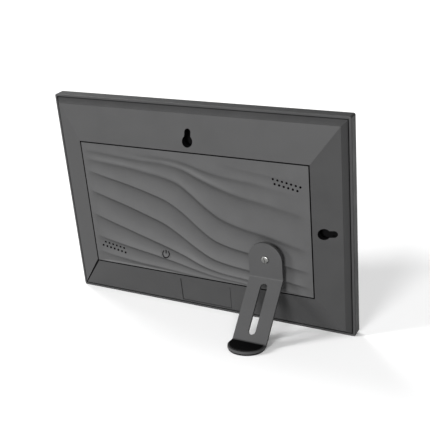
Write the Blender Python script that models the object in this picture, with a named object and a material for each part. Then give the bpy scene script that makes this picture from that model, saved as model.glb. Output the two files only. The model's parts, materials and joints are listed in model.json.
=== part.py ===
"""Digital photo frame, ten inch class, standing on its swivelling rear leg.

Everything is modelled in the frame's own axes: X to the right as seen from the
front, Y from the front face to the rear, Z up along the frame from its bottom
edge. One empty, tilt_frame, then leans the whole assembly back on the floor.
The stand leg and the power button have their origins on their joint axes.
"""

import math

import bmesh
import bpy
from mathutils import Matrix, Vector

MM = 0.001

# ---------------------------------------------------------------- frame sizes
WIDTH = 260.0 * MM
HEIGHT = 181.15 * MM
WALL_DEPTH = 9.73 * MM
TOTAL_DEPTH = 21.55 * MM
TILT = math.radians(10.05)
CLEAR = 0.3 * MM

# ---------------------------------------------------------------- front bezel
WALL = 1.82 * MM
CORNER_R = 1.6 * MM
EDGE_CHAMFER = 0.3 * MM
GROOVE_FROM_REAR = 1.4 * MM
GROOVE_WIDTH = 0.35 * MM
GROOVE_DEPTH = 0.35 * MM
SEAT_DEPTH = 2.3 * MM
LEDGE_T = 1.2 * MM
LEDGE_REACH = 13.5 * MM
BOSS_INSET = 10.0 * MM
BOSS_R = 2.6 * MM

# ------------------------------------------------------ glass and the display
GLASS_DROP = 0.1 * MM
GLASS_T = 1.1 * MM
TAPE_T = 0.5 * MM
TAPE_OUTER_INSET = 2.6 * MM
TAPE_INNER_INSET = 12.5 * MM
DISPLAY_MARGIN_X = 15.27 * MM
DISPLAY_MARGIN_Z = 16.02 * MM
CELL_T = 1.6 * MM
BACKLIGHT_T = 2.5 * MM
CHASSIS_T = 0.8 * MM
CHASSIS_INSET = 6.5 * MM

# --------------------------------------------------------------- rear housing
COVER_GAP = 0.8 * MM
COVER_BURY = 0.83 * MM
STEP_INSET = 6.2 * MM
STEP_DEPTH = 14.3 * MM
OPENING_X = 27.99 * MM
OPENING_Z = 34.89 * MM
COVER_T = 2.1 * MM
INNER_STEP_SHIFT = 1.0 * MM
INNER_STEP_T = 1.9 * MM
LEDGE_WIDTH = 3.2 * MM
COVER_LEDGE_T = 1.6 * MM
KEYHOLE_R = 4.6 * MM
KEYHOLE_NECK_R = 2.75 * MM
KEYHOLE_REACH = 9.8 * MM
TOP_KEYHOLE_INSET = 26.9 * MM
SIDE_KEYHOLE_INSET = 19.7 * MM
CUP_MARGIN = 1.4 * MM
CUP_WALL = 1.2 * MM
CUP_FLOOR_DEPTH = 9.2 * MM
RECESS_HALF = 23.2 * MM
RECESS_SHIFT = -2.4 * MM
RECESS_SLANT = 1.6 * MM
RECESS_BOTTOM = 7.4 * MM
RECESS_TOP = 31.0 * MM
RECESS_DEPTH = 0.6 * MM
MITRE_WIDE = 0.7 * MM
MITRE_NARROW = 0.25 * MM
MITRE_DEPTH = 1.2 * MM

# ----------------------------------------------------------------- wave panel
PANEL_GAP = 0.9 * MM
PANEL_T = 4.0 * MM
RELIEF_MOST = 3.2 * MM
RELIEF_PROUD = 0.25
RELIEF_STEEPEST = 0.26
RELIEF_PEAK = 0.55
RELIEF_RUN_SHARE = 0.34
RELIEF_RUN_LEAST = 1.6 * MM
RELIEF_RUN_MOST = 4.2 * MM
RELIEF_LEAST_GAP = 0.5 * MM
RELIEF_LOWEST_GAP = 0.3
FADE_LEFT = 9.0 * MM
FADE_RIGHT = 12.0 * MM
FADE_END = 1.2 * MM
PANEL_CELLS_X = 60
PANEL_CELLS_Z = 40

# Each crease runs from the +X side of the panel to the -X side. Its points are
# (across, up, fall): across and up as shares of the panel's half width and half
# height, and fall in millimetres below the crest.
CREASES = (
    (
        (1.0, 1.3, 0.0),
        (0.2, 1.08, 0.0),
        (-0.2, 0.93, 0.0),
        (-0.45, 0.84, 0.6),
        (-0.7, 0.79, 0.6),
        (-1.0, 0.74, 0.0),
    ),
    (
        (1.0, 0.99, 0.0),
        (0.62, 0.925, 0.0),
        (0.38, 0.89, 0.7),
        (0.14, 0.872, 1.5),
        (0.01, 0.83, 1.9),
        (-0.12, 0.76, 1.8),
        (-0.25, 0.71, 1.5),
        (-0.38, 0.68, 1.2),
        (-0.55, 0.65, 0.8),
        (-0.75, 0.59, 0.3),
        (-1.0, 0.5, 0.0),
    ),
    (
        (1.0, 0.89, 0.7),
        (0.82, 0.858, 1.3),
        (0.64, 0.83, 1.6),
        (0.45, 0.805, 1.5),
        (0.2, 0.785, 1.5),
        (0.04, 0.72, 2.0),
        (-0.06, 0.64, 2.2),
        (-0.22, 0.53, 2.0),
        (-0.37, 0.447, 1.6),
        (-0.68, 0.345, 1.0),
        (-1.0, 0.22, 0.3),
    ),
    (
        (1.0, 0.74, 0.8),
        (0.79, 0.706, 1.6),
        (0.58, 0.672, 1.7),
        (0.41, 0.628, 1.8),
        (0.25, 0.58, 1.9),
        (0.11, 0.5, 2.2),
        (0.01, 0.37, 2.4),
        (-0.09, 0.22, 2.4),
        (-0.22, 0.06, 2.2),
        (-0.41, -0.06, 1.9),
        (-0.6, -0.125, 1.5),
        (-0.73, -0.18, 1.2),
        (-1.0, -0.29, 0.5),
    ),
    (
        (1.0, 0.56, 0.9),
        (0.81, 0.482, 1.9),
        (0.6, 0.4, 2.3),
        (0.39, 0.3, 2.5),
        (0.21, 0.185, 2.7),
        (0.08, 0.03, 2.8),
        (-0.04, -0.155, 2.9),
        (-0.15, -0.3, 2.8),
        (-0.3, -0.395, 2.4),
        (-0.46, -0.445, 2.0),
        (-0.77, -0.555, 1.4),
        (-1.0, -0.62, 0.8),
    ),
    (
        (1.0, 0.24, 1.0),
        (0.86, 0.165, 2.3),
        (0.63, 0.045, 2.9),
        (0.42, -0.08, 3.1),
        (0.27, -0.18, 3.2),
        (0.15, -0.31, 3.2),
        (0.0, -0.495, 3.2),
        (-0.13, -0.625, 3.1),
        (-0.29, -0.695, 2.8),
        (-0.45, -0.73, 2.3),
        (-0.76, -0.805, 1.5),
        (-1.0, -0.87, 0.8),
    ),
    (
        (1.0, -0.15, 1.0),
        (0.88, -0.225, 2.3),
        (0.66, -0.348, 3.1),
        (0.45, -0.465, 3.2),
        (0.29, -0.553, 3.2),
        (0.12, -0.66, 3.2),
        (-0.04, -0.785, 3.0),
        (-0.17, -0.845, 2.6),
        (-0.43, -0.895, 1.8),
        (-1.0, -1.03, 0.8),
    ),
    (
        (1.0, -0.53, 0.9),
        (0.87, -0.587, 1.9),
        (0.61, -0.675, 2.4),
        (0.39, -0.74, 2.6),
        (0.19, -0.81, 2.4),
        (0.02, -0.88, 2.1),
        (-0.11, -0.925, 1.8),
        (-0.43, -0.975, 1.2),
        (-1.0, -1.12, 0.5),
    ),
    (
        (1.0, -0.81, 0.8),
        (0.82, -0.865, 1.3),
        (0.56, -0.918, 1.5),
        (0.32, -0.945, 1.5),
        (0.12, -0.975, 1.4),
        (-0.43, -1.05, 0.9),
        (-1.0, -1.22, 0.4),
    ),
)

# ------------------------------------------------------------ loudspeaker holes
HOLE_R = 0.95 * MM
HOLE_PITCH = 3.73 * MM
HOLE_ROW_PITCH = 3.6 * MM
HOLE_SLANT = math.radians(10.3)
LONG_ROW = 7
SHORT_ROW = 6
SPEAKER_SIDE_INSET = 19.3 * MM
SPEAKER_LOW_INSET = 15.8 * MM
SPEAKER_HIGH_INSET = 18.2 * MM
SPEAKER_SIZE = (30.0 * MM, 16.0 * MM)
SPEAKER_ROOM_SHARE = 0.61
SPEAKER_LIP = 2.0 * MM
SPEAKER_GASKET_T = 0.8 * MM

# --------------------------------------------------------------- power button
BUTTON_FROM_SIDE = 71.4 * MM
BUTTON_FROM_LOW = 17.6 * MM
BUTTON_R = 5.0 * MM
BUTTON_FLANGE = 1.4 * MM
BUTTON_FLANGE_T = 1.1 * MM
BUTTON_STEM_R = 1.6 * MM
BUTTON_TRAVEL = 0.7 * MM
SWITCH_SIZE = 6.0 * MM
SWITCH_ROOM_SHARE = 0.7191
SWITCH_STEM_H = 0.5 * MM

# ---------------------------------------------------------------- electronics
BOARD_LENGTH = 108.0 * MM
BOARD_HEIGHT = 66.0 * MM
BOARD_T = 1.2 * MM
BOARD_SIDE_INSET = 5.9 * MM
BOARD_LOW = 46.0 * MM
BOARD_SPACER_T = 0.8 * MM
BOARD_SCREW_INSET = 4.0 * MM
SHIELD_SIZE = (34.0 * MM, 26.0 * MM)
SHIELD_H = 2.4 * MM
USB_SIZE = (8.94 * MM, 3.2 * MM)
USB_LENGTH = 7.0 * MM
USB_UP = 50.0 * MM
CARD_SIZE = (13.0 * MM, 1.9 * MM)
CARD_LENGTH = 14.0 * MM
CARD_UP = 30.0 * MM
PORT_CLEAR = 0.35 * MM
ANTENNA_SIZE = (40.0 * MM, 8.0 * MM)
ANTENNA_T = 0.8 * MM
ANTENNA_INSET = 3.0 * MM
LEAD_R = 0.6 * MM
RIBBON_WIDTH = 28.0 * MM
RIBBON_T = 0.3 * MM

# -------------------------------------------------------------------- fasteners
SCREW_R = 1.2 * MM
SCREW_HEAD_R = 2.2 * MM
SCREW_HEAD_H = 1.2 * MM
SMALL_SCREW_R = 0.9 * MM
SMALL_HEAD_R = 1.8 * MM
SMALL_HEAD_H = 1.0 * MM

# ------------------------------------------------------------------ stand leg
PIVOT_FROM_SIDE = 65.8 * MM
PIVOT_UP = 66.0 * MM
LEG_STANDOFF = 3.95 * MM
LEG_T = 2.0 * MM
LEG_HALF = 14.2 * MM
LEG_BEND_DOWN = 16.0 * MM
LEG_ANGLE = math.radians(45.0)
LEG_BEND_R = 3.0 * MM
FOOT_LENGTH = 18.9 * MM
SLOT_HALF = 3.0 * MM
SLOT_START = 4.7 * MM
SLOT_LENGTH = 41.2 * MM
PAD_T = 0.8 * MM
PAD_INSET = 1.3 * MM
SOLE_T = 1.1 * MM
SOLE_INSET = 0.5 * MM
PIVOT_R = 2.3 * MM
PIVOT_CLEAR = 0.4 * MM
PIVOT_HEAD_R = 3.4 * MM
PIVOT_HEAD_H = 0.9 * MM
SPACER_R = 7.0 * MM
FRICTION_WASHER_T = 0.5 * MM
PIVOT_PLATE_HALF = (22.0 * MM, 17.0 * MM)
PIVOT_PLATE_T = 1.2 * MM
NUT_R = 4.6 * MM
NUT_H = 2.4 * MM
PIVOT_TAIL = 1.2 * MM

# ------------------------------------------------------------- worked-out places
HALF_W = WIDTH / 2
MID_Z = HEIGHT / 2
PANEL_HALF_X = HALF_W - OPENING_X - PANEL_GAP
PANEL_HALF_Z = MID_Z - OPENING_Z - PANEL_GAP
PANEL_BACK = TOTAL_DEPTH - PANEL_T
UNDER_PANEL = PANEL_BACK - CLEAR
LEDGE_Y = PANEL_BACK - CLEAR
LEDGE_BOTTOM = LEDGE_Y - COVER_LEDGE_T
INNER_STEP_INSET = STEP_INSET + INNER_STEP_SHIFT
INNER_STEP_DEPTH = STEP_DEPTH - INNER_STEP_T
GLASS_BACK = GLASS_DROP + GLASS_T
LEDGE_BACK = SEAT_DEPTH + LEDGE_T
CELL_Y = GLASS_BACK + CLEAR
BACKLIGHT_Y = CELL_Y + CELL_T + CLEAR
CHASSIS_Y = BACKLIGHT_Y + BACKLIGHT_T + CLEAR
CHASSIS_BACK = CHASSIS_Y + CHASSIS_T
BOARD_Y = CHASSIS_BACK + BOARD_SPACER_T + 2 * CLEAR
BOARD_BACK = BOARD_Y + BOARD_T
BOARD_RIGHT = HALF_W - BOARD_SIDE_INSET
BOARD_LEFT = BOARD_RIGHT - BOARD_LENGTH
BOARD_TOP = BOARD_LOW + BOARD_HEIGHT
BUTTON_X = HALF_W - OPENING_X - BUTTON_FROM_SIDE
BUTTON_Z = OPENING_Z + BUTTON_FROM_LOW
STEM_ROOM = UNDER_PANEL - BUTTON_FLANGE_T - BUTTON_TRAVEL - BOARD_BACK - SWITCH_STEM_H - 2 * CLEAR
SWITCH_BODY_H = SWITCH_ROOM_SHARE * STEM_ROOM
PIVOT_X = PIVOT_FROM_SIDE - HALF_W
PIVOT_Z = PIVOT_UP
LEG_BACK = TOTAL_DEPTH + LEG_STANDOFF
LEG_FRONT = LEG_BACK + LEG_T
SPEAKERS = {
    "left": (HALF_W - OPENING_X - SPEAKER_SIDE_INSET, OPENING_Z + SPEAKER_LOW_INSET),
    "right": (OPENING_X + SPEAKER_SIDE_INSET - HALF_W, HEIGHT - OPENING_Z - SPEAKER_HIGH_INSET),
}

# The lower leg leaves the upper leg's plane outwards, and its foot lies level.
LEG_DOWN = Vector((0.0, math.sin(LEG_ANGLE), -math.cos(LEG_ANGLE)))
LEG_OUT = Vector((0.0, math.cos(LEG_ANGLE), math.sin(LEG_ANGLE)))
FOOT_ALONG = Vector((0.0, math.cos(TILT), math.sin(TILT)))
FOOT_UP = Vector((0.0, -math.sin(TILT), math.cos(TILT)))
LIFT = (WALL_DEPTH - EDGE_CHAMFER) * math.sin(TILT)
FOOT_TOP_HEIGHT = SOLE_T + CLEAR + LEG_T


def height_above_floor(point):
    """World height of a point given in the frame's own axes."""
    return point.dot(FOOT_UP) + LIFT


LEG_BEND = Vector((PIVOT_X, LEG_FRONT, PIVOT_Z - LEG_BEND_DOWN))
LEG_LENGTH = (height_above_floor(LEG_BEND) - FOOT_TOP_HEIGHT) / -LEG_DOWN.dot(FOOT_UP)
FOOT_FOLD = LEG_BEND + LEG_DOWN * LEG_LENGTH
FRONT_Y = EDGE_CHAMFER * math.sin(TILT)
REAR_Y = (FOOT_FOLD + FOOT_ALONG * FOOT_LENGTH).dot(FOOT_ALONG)


# -------------------------------------------------------------- scene and colour
def clear_scene():
    """Remove whatever the file holds."""
    for old in list(bpy.data.objects):
        bpy.data.objects.remove(old, do_unlink=True)


def material(name, colour, roughness, metallic=0.0):
    """Make a Principled material."""
    made = bpy.data.materials.new(name)
    made.use_nodes = True
    shader = made.node_tree.nodes["Principled BSDF"]
    shader.inputs["Base Color"].default_value = (*colour, 1.0)
    shader.inputs["Roughness"].default_value = roughness
    shader.inputs["Metallic"].default_value = metallic
    made.diffuse_color = (*colour, 1.0)
    return made


def tilt_frame():
    """Make the empty that leans the frame back and centres it on the floor."""
    empty = bpy.data.objects.new("tilt_frame", None)
    bpy.context.scene.collection.objects.link(empty)
    empty.location = (0.0, -(FRONT_Y + REAR_Y) / 2, LIFT)
    empty.rotation_euler = (-TILT, 0.0, 0.0)
    return empty


clear_scene()
TILTED = tilt_frame()
CHARCOAL = material("charcoal_plastic", (0.105, 0.107, 0.110), 0.55)
PANEL_GREY = material("panel_plastic", (0.120, 0.122, 0.125), 0.58)
LEG_PAINT = material("leg_paint", (0.115, 0.117, 0.120), 0.50)
RUBBER = material("black_rubber", (0.015, 0.015, 0.016), 0.85)
GLASS = material("cover_glass", (0.010, 0.010, 0.012), 0.06)
DISPLAY = material("display_black", (0.015, 0.015, 0.018), 0.25)
STEEL = material("zinc_steel", (0.60, 0.61, 0.62), 0.35, 1.0)
NICKEL = material("nickel", (0.72, 0.71, 0.69), 0.22, 1.0)
BOARD = material("board_green", (0.02, 0.12, 0.06), 0.50)
FOAM = material("black_foam", (0.02, 0.02, 0.02), 0.95)
COPPER = material("flex_copper", (0.45, 0.24, 0.08), 0.45)
INNER = material("inner_plastic", (0.025, 0.025, 0.027), 0.60)


# ------------------------------------------------------------- modelling helpers
def finish(name, mesh_maker, colour, origin=(0.0, 0.0, 0.0), parent=TILTED):
    """Turn a bmesh into a named object whose origin is where it is asked for."""
    if mesh_maker.calc_volume(signed=True) < 0.0:
        bmesh.ops.reverse_faces(mesh_maker, faces=mesh_maker.faces)
    bmesh.ops.translate(mesh_maker, verts=mesh_maker.verts, vec=-Vector(origin))
    mesh = bpy.data.meshes.new(name)
    mesh_maker.to_mesh(mesh)
    mesh_maker.free()
    mesh.shade_smooth()
    mesh.set_sharp_from_angle(angle=math.radians(35.0))
    made = bpy.data.objects.new(name, mesh)
    bpy.context.scene.collection.objects.link(made)
    made.parent = parent
    made.location = origin
    if colour is not None:
        mesh.materials.append(colour)
    return made


def cutter(name, mesh_maker):
    """Finish a tool shape that the build leaves out."""
    made = finish(name, mesh_maker, None)
    made.hide_render = True
    made.display_type = "WIRE"
    return made


def boolean(target, tool, operation="DIFFERENCE"):
    """Cut, join or trim a piece with a tool shape."""
    modifier = target.modifiers.new(tool.name, "BOOLEAN")
    modifier.object = tool
    modifier.operation = operation
    modifier.solver = "EXACT"


def rounded_rectangle(centre, half_x, half_z, radius, steps):
    """Points (x, z) round a rectangle with rounded corners."""
    points = []
    corners = ((1, 1, 0.0), (-1, 1, 90.0), (-1, -1, 180.0), (1, -1, 270.0))
    for side_x, side_z, start in corners:
        middle_x = centre[0] + side_x * (half_x - radius)
        middle_z = centre[1] + side_z * (half_z - radius)
        for step in range(steps + 1):
            angle = math.radians(start + 90.0 * step / steps)
            points.append((middle_x + radius * math.cos(angle), middle_z + radius * math.sin(angle)))
    return points


def circle(centre, radius, count):
    """Points (x, z) round a circle."""
    turn = 2 * math.pi / count
    return [
        (centre[0] + radius * math.cos(turn * i), centre[1] + radius * math.sin(turn * i))
        for i in range(count)
    ]


def at_depth(outline, depth):
    """Stand an (x, z) outline at one depth."""
    return [(x, depth, z) for x, z in outline]


def loft(mesh_maker, loops, closed=False):
    """Skin a row of loops with equal point counts; closed makes a ring of them."""
    rows = [[mesh_maker.verts.new(point) for point in loop] for loop in loops]
    pairs = list(zip(rows, rows[1:]))
    if closed:
        pairs.append((rows[-1], rows[0]))
    for near, far in pairs:
        for index in range(len(near)):
            after = (index + 1) % len(near)
            mesh_maker.faces.new((near[index], near[after], far[after], far[index]))
    if not closed:
        mesh_maker.faces.new(reversed(rows[0]))
        mesh_maker.faces.new(rows[-1])


def add_box(mesh_maker, low, high):
    """Add a box between two corners."""
    low = Vector(low)
    high = Vector(high)
    place = Matrix.Translation((low + high) / 2) @ Matrix.Diagonal((*(high - low), 1.0))
    bmesh.ops.create_cube(mesh_maker, size=1.0, matrix=place)


def add_pin(mesh_maker, centre, near, far, radius, sides):
    """Add a cylinder along the depth between two depths."""
    place = Matrix.Translation((centre[0], (near + far) / 2, centre[1])) @ Matrix.Rotation(
        math.radians(90.0), 4, "X"
    )
    bmesh.ops.create_cone(
        mesh_maker,
        cap_ends=True,
        segments=sides,
        radius1=radius,
        radius2=radius,
        depth=far - near,
        matrix=place,
    )


def turned(centre, profile, sides):
    """Loops of a turned shape about a depth axis, from (radius, depth) points."""
    return [at_depth(circle(centre, radius, sides), depth) for radius, depth in profile]


def turned_piece(name, centre, profile, colour, sides=24, closed=False, origin=(0.0, 0.0, 0.0)):
    """Make a turned piece; closed gives it a hole through the middle."""
    maker = bmesh.new()
    loft(maker, turned(centre, profile, sides), closed)
    return finish(name, maker, colour, origin)


def washer(name, centre, near, far, inner, outer, colour, sides=24):
    """Make a flat ring."""
    profile = ((outer, near), (outer, far), (inner, far), (inner, near))
    return turned_piece(name, centre, profile, colour, sides, closed=True)


def screw(name, centre, tip, seat, radius, head_radius, head_height, colour):
    """Make a pan-head screw whose head sits at the depth seat."""
    profile = (
        (radius * 0.6, tip),
        (radius, tip + radius * 0.6),
        (radius, seat),
        (head_radius, seat),
        (head_radius, seat + head_height * 0.6),
        (head_radius * 0.7, seat + head_height),
    )
    return turned_piece(name, centre, profile, colour, sides=12)


def plate(name, centre, half_x, half_z, near, far, radius, colour):
    """Make a flat plate with rounded corners."""
    maker = bmesh.new()
    outline = rounded_rectangle(centre, half_x, half_z, radius, 3)
    loft(maker, [at_depth(outline, near), at_depth(outline, far)])
    return finish(name, maker, colour)


def frame_loop(inset_x, inset_z, depth, radius):
    """A rounded rectangle at the given insets from the frame's outer edges."""
    outline = rounded_rectangle((0.0, MID_Z), HALF_W - inset_x, MID_Z - inset_z, radius, 3)
    return at_depth(outline, depth)


def frame_ring(name, profile, colour):
    """Make a closed ring round the frame from (inset x, inset z, depth) points."""
    maker = bmesh.new()
    sharp = 0.25 * MM
    loops = [
        frame_loop(inset_x, inset_z, depth, max(CORNER_R - inset_x, sharp))
        for inset_x, inset_z, depth in profile
    ]
    loft(maker, loops, closed=True)
    return finish(name, maker, colour)


def tube(name, points, radius, colour):
    """Make a smooth lead through points in the frame's own axes."""
    curve = bpy.data.curves.new(name, "CURVE")
    curve.dimensions = "3D"
    curve.bevel_depth = radius
    curve.bevel_resolution = 2
    curve.use_fill_caps = True
    smooth = smooth_route([Vector(point) for point in points], 6)
    spline = curve.splines.new("POLY")
    spline.points.add(len(smooth) - 1)
    for target, point in zip(spline.points, smooth):
        target.co = (*point, 1.0)
    curve.materials.append(colour)
    made = bpy.data.objects.new(name, curve)
    bpy.context.scene.collection.objects.link(made)
    made.parent = TILTED
    return made


def smooth_route(points, steps):
    """Read a smooth curve that passes through every given point."""
    padded = [points[0] * 2 - points[1], *points, points[-1] * 2 - points[-2]]
    route = []
    for before, start, end, after in zip(padded, padded[1:], padded[2:], padded[3:]):
        for step in range(steps):
            share = step / steps
            along = (end - before) * 0.5
            ahead = (after - start) * 0.5
            bend = start * 2 - end * 2 + along + ahead
            sweep = end * 3 - start * 3 - along * 2 - ahead
            route.append(bend * share**3 + sweep * share**2 + along * share + start)
    route.append(points[-1])
    return route


def strip_loops(rows, thickness):
    """Loops across a bent strip; each row is (centre, outward, half width)."""
    loops = []
    for centre, outward, half in rows:
        side = Vector((half, 0.0, 0.0))
        lift = outward * (thickness / 2)
        loops.append([centre - side + lift, centre + side + lift, centre + side - lift, centre - side - lift])
    return loops


# ------------------------------------------------------------------ front bezel
def slope_depth(inset_x=None, inset_z=None):
    """Depth of the rear cover's outer slope at an inset from one frame edge."""
    if inset_x is not None:
        share = (inset_x - STEP_INSET) / (OPENING_X - STEP_INSET)
    else:
        share = (inset_z - STEP_INSET) / (OPENING_Z - STEP_INSET)
    return STEP_DEPTH + share * (TOTAL_DEPTH - STEP_DEPTH)


def side_port_cutters():
    """Openings in the +X side wall for the power and card sockets."""
    socket_front = BOARD_Y - CLEAR
    ports = (
        ("cut_usb_port", USB_SIZE, USB_UP),
        ("cut_card_port", CARD_SIZE, CARD_UP),
    )
    made = []
    for name, (span, tall), up in ports:
        maker = bmesh.new()
        add_box(
            maker,
            (
                HALF_W - WALL * 1.5,
                socket_front - tall - PORT_CLEAR,
                BOARD_LOW + up - span / 2 - PORT_CLEAR,
            ),
            (HALF_W + WALL, socket_front + PORT_CLEAR, BOARD_LOW + up + span / 2 + PORT_CLEAR),
        )
        made.append(cutter(name, maker))
    return made


def corner_places(inset):
    """The four places at one inset from the frame's corners."""
    return [
        (side_x * (HALF_W - inset), MID_Z + side_z * (MID_Z - inset))
        for side_z in (-1, 1)
        for side_x in (-1, 1)
    ]


def build_bezel():
    """The front frame: lip, glass seat, side wall with its fine groove, and rear rim."""
    groove = WALL_DEPTH - GROOVE_FROM_REAR
    section = (
        (EDGE_CHAMFER, 0.0),
        (WALL, 0.0),
        (WALL, SEAT_DEPTH),
        (LEDGE_REACH, SEAT_DEPTH),
        (LEDGE_REACH, LEDGE_BACK),
        (WALL, LEDGE_BACK),
        (WALL, WALL_DEPTH),
        (EDGE_CHAMFER, WALL_DEPTH),
        (0.0, WALL_DEPTH - EDGE_CHAMFER),
        (0.0, groove + GROOVE_WIDTH),
        (GROOVE_DEPTH, groove + GROOVE_WIDTH),
        (GROOVE_DEPTH, groove),
        (0.0, groove),
        (0.0, EDGE_CHAMFER),
    )
    bezel = frame_ring("front_bezel", [(inset, inset, depth) for inset, depth in section], CHARCOAL)
    posts = bmesh.new()
    holes = bmesh.new()
    for place in corner_places(BOSS_INSET):
        add_pin(posts, place, LEDGE_BACK - LEDGE_T / 2, CHASSIS_Y - CLEAR, BOSS_R, 16)
        add_pin(holes, place, LEDGE_BACK, CHASSIS_Y, SCREW_R + CLEAR, 12)
    boolean(bezel, cutter("add_posts", posts), "UNION")
    boolean(bezel, cutter("cut_post_holes", holes))
    for port in side_port_cutters():
        boolean(bezel, port)


# -------------------------------------------------------------- glass and display
def build_display():
    """Cover glass, its tape, the display cell, its backlight and the steel chassis."""
    glass_gap = WALL + CLEAR
    plate(
        "cover_glass",
        (0.0, MID_Z),
        HALF_W - glass_gap,
        MID_Z - glass_gap,
        GLASS_DROP,
        GLASS_BACK,
        0.8 * MM,
        GLASS,
    )
    tape_front = GLASS_BACK + CLEAR
    tape = (
        (TAPE_OUTER_INSET, TAPE_OUTER_INSET, tape_front),
        (TAPE_OUTER_INSET, TAPE_OUTER_INSET, tape_front + TAPE_T),
        (TAPE_INNER_INSET, TAPE_INNER_INSET, tape_front + TAPE_T),
        (TAPE_INNER_INSET, TAPE_INNER_INSET, tape_front),
    )
    frame_ring("glass_tape", tape, FOAM)
    half_x = HALF_W - DISPLAY_MARGIN_X
    half_z = MID_Z - DISPLAY_MARGIN_Z
    plate("lcd_panel", (0.0, MID_Z), half_x, half_z, CELL_Y, CELL_Y + CELL_T, 0.5 * MM, DISPLAY)
    plate(
        "backlight_unit",
        (0.0, MID_Z),
        half_x,
        half_z,
        BACKLIGHT_Y,
        BACKLIGHT_Y + BACKLIGHT_T,
        0.5 * MM,
        INNER,
    )


def ribbon_x():
    """Middle of the display ribbon, beside the switch under the power button."""
    return BUTTON_X + SWITCH_SIZE + RIBBON_WIDTH / 2


def build_chassis():
    """Steel chassis behind the display, notched for the sockets and the ribbon."""
    chassis = plate(
        "chassis_plate",
        (0.0, MID_Z),
        HALF_W - CHASSIS_INSET,
        MID_Z - CHASSIS_INSET,
        CHASSIS_Y,
        CHASSIS_BACK,
        3.0 * MM,
        STEEL,
    )
    notches = bmesh.new()
    margin = 3.0 * MM
    add_box(
        notches,
        (
            HALF_W - CARD_LENGTH - margin - WALL,
            CHASSIS_Y - margin,
            BOARD_LOW + CARD_UP - CARD_SIZE[0] / 2 - margin,
        ),
        (HALF_W, CHASSIS_BACK + margin, BOARD_LOW + USB_UP + USB_SIZE[0] / 2 + margin),
    )
    add_box(
        notches,
        (ribbon_x() - RIBBON_WIDTH / 2 - margin, CHASSIS_Y - margin, 0.0),
        (ribbon_x() + RIBBON_WIDTH / 2 + margin, CHASSIS_BACK + margin, DISPLAY_MARGIN_Z + margin),
    )
    boolean(chassis, cutter("cut_chassis_notches", notches))
    holes = bmesh.new()
    for place in corner_places(BOSS_INSET):
        add_pin(holes, place, CHASSIS_Y - margin, CHASSIS_BACK + margin, SCREW_R + CLEAR, 12)
    for place in board_screw_places():
        add_pin(holes, place, CHASSIS_Y - margin, CHASSIS_BACK + margin, SMALL_SCREW_R + CLEAR, 12)
    boolean(chassis, cutter("cut_chassis_holes", holes))
    for number, place in enumerate(corner_places(BOSS_INSET), start=1):
        screw(
            f"chassis_screw_{number}",
            place,
            LEDGE_BACK + CLEAR,
            CHASSIS_BACK + CLEAR,
            SCREW_R,
            SCREW_HEAD_R,
            SCREW_HEAD_H,
            STEEL,
        )


# ------------------------------------------------------------------ electronics
def board_screw_places():
    """The four screws at the corners of the main board."""
    inset = BOARD_SCREW_INSET
    return [
        (x, z)
        for z in (BOARD_LOW + inset, BOARD_TOP - inset)
        for x in (BOARD_LEFT + inset, BOARD_RIGHT - inset)
    ]


def build_board():
    """Main board on its spacers, with the sockets, switch and shield it carries."""
    middle = ((BOARD_LEFT + BOARD_RIGHT) / 2, (BOARD_LOW + BOARD_TOP) / 2)
    board = plate(
        "main_board",
        middle,
        BOARD_LENGTH / 2,
        BOARD_HEIGHT / 2,
        BOARD_Y,
        BOARD_BACK,
        1.5 * MM,
        BOARD,
    )
    holes = bmesh.new()
    hole_r = SMALL_SCREW_R + CLEAR
    for place in board_screw_places():
        add_pin(holes, place, BOARD_Y - BOARD_T, BOARD_BACK + BOARD_T, hole_r, 12)
    boolean(board, cutter("cut_board_holes", holes))
    for number, place in enumerate(board_screw_places(), start=1):
        washer(
            f"board_spacer_{number}",
            place,
            CHASSIS_BACK + CLEAR,
            CHASSIS_BACK + CLEAR + BOARD_SPACER_T,
            hole_r,
            SMALL_HEAD_R + 0.4 * MM,
            NICKEL,
            sides=12,
        )
        screw(
            f"board_screw_{number}",
            place,
            CHASSIS_Y,
            BOARD_BACK + CLEAR,
            SMALL_SCREW_R,
            SMALL_HEAD_R,
            SMALL_HEAD_H,
            STEEL,
        )
    top = BOARD_BACK + CLEAR
    plate(
        "radio_shield",
        (middle[0], middle[1] + BOARD_HEIGHT / 4 - BOARD_SCREW_INSET / 2),
        SHIELD_SIZE[0] / 2,
        SHIELD_SIZE[1] / 2,
        top,
        top + SHIELD_H,
        1.0 * MM,
        NICKEL,
    )
    build_switch(top)
    build_sockets()


def build_switch(top):
    """The push switch under the power button."""
    half = SWITCH_SIZE / 2
    maker = bmesh.new()
    square = rounded_rectangle((BUTTON_X, BUTTON_Z), half, half, 0.6 * MM, 3)
    stem = rounded_rectangle((BUTTON_X, BUTTON_Z), half / 2, half / 2, half / 2 - 0.01 * MM, 3)
    body_top = top + SWITCH_BODY_H
    loops = [
        at_depth(square, top),
        at_depth(square, body_top),
        at_depth(stem, body_top),
        at_depth(stem, body_top + SWITCH_STEM_H),
    ]
    loft(maker, loops)
    finish("tact_switch", maker, INNER)


def socket(name, length, size, up, inner_x):
    """A socket shell that is open towards the side wall."""
    back = BOARD_Y - CLEAR
    middle_y = back - size[1] / 2
    middle_z = BOARD_LOW + up
    mouth = HALF_W - WALL - CLEAR
    wall = 0.4 * MM
    depth_in = inner_x

    def loop(x, shrink):
        radius = max(size[1] / 2 - shrink - 0.1 * MM, 0.1 * MM)
        outline = rounded_rectangle((middle_y, middle_z), size[1] / 2 - shrink, size[0] / 2 - shrink, radius, 3)
        return [(x, y, z) for y, z in outline]

    maker = bmesh.new()
    loft(
        maker,
        [
            loop(mouth - length, 0.0),
            loop(mouth, 0.0),
            loop(mouth, wall),
            loop(mouth - depth_in, wall),
        ],
    )
    finish(name, maker, NICKEL)


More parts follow.
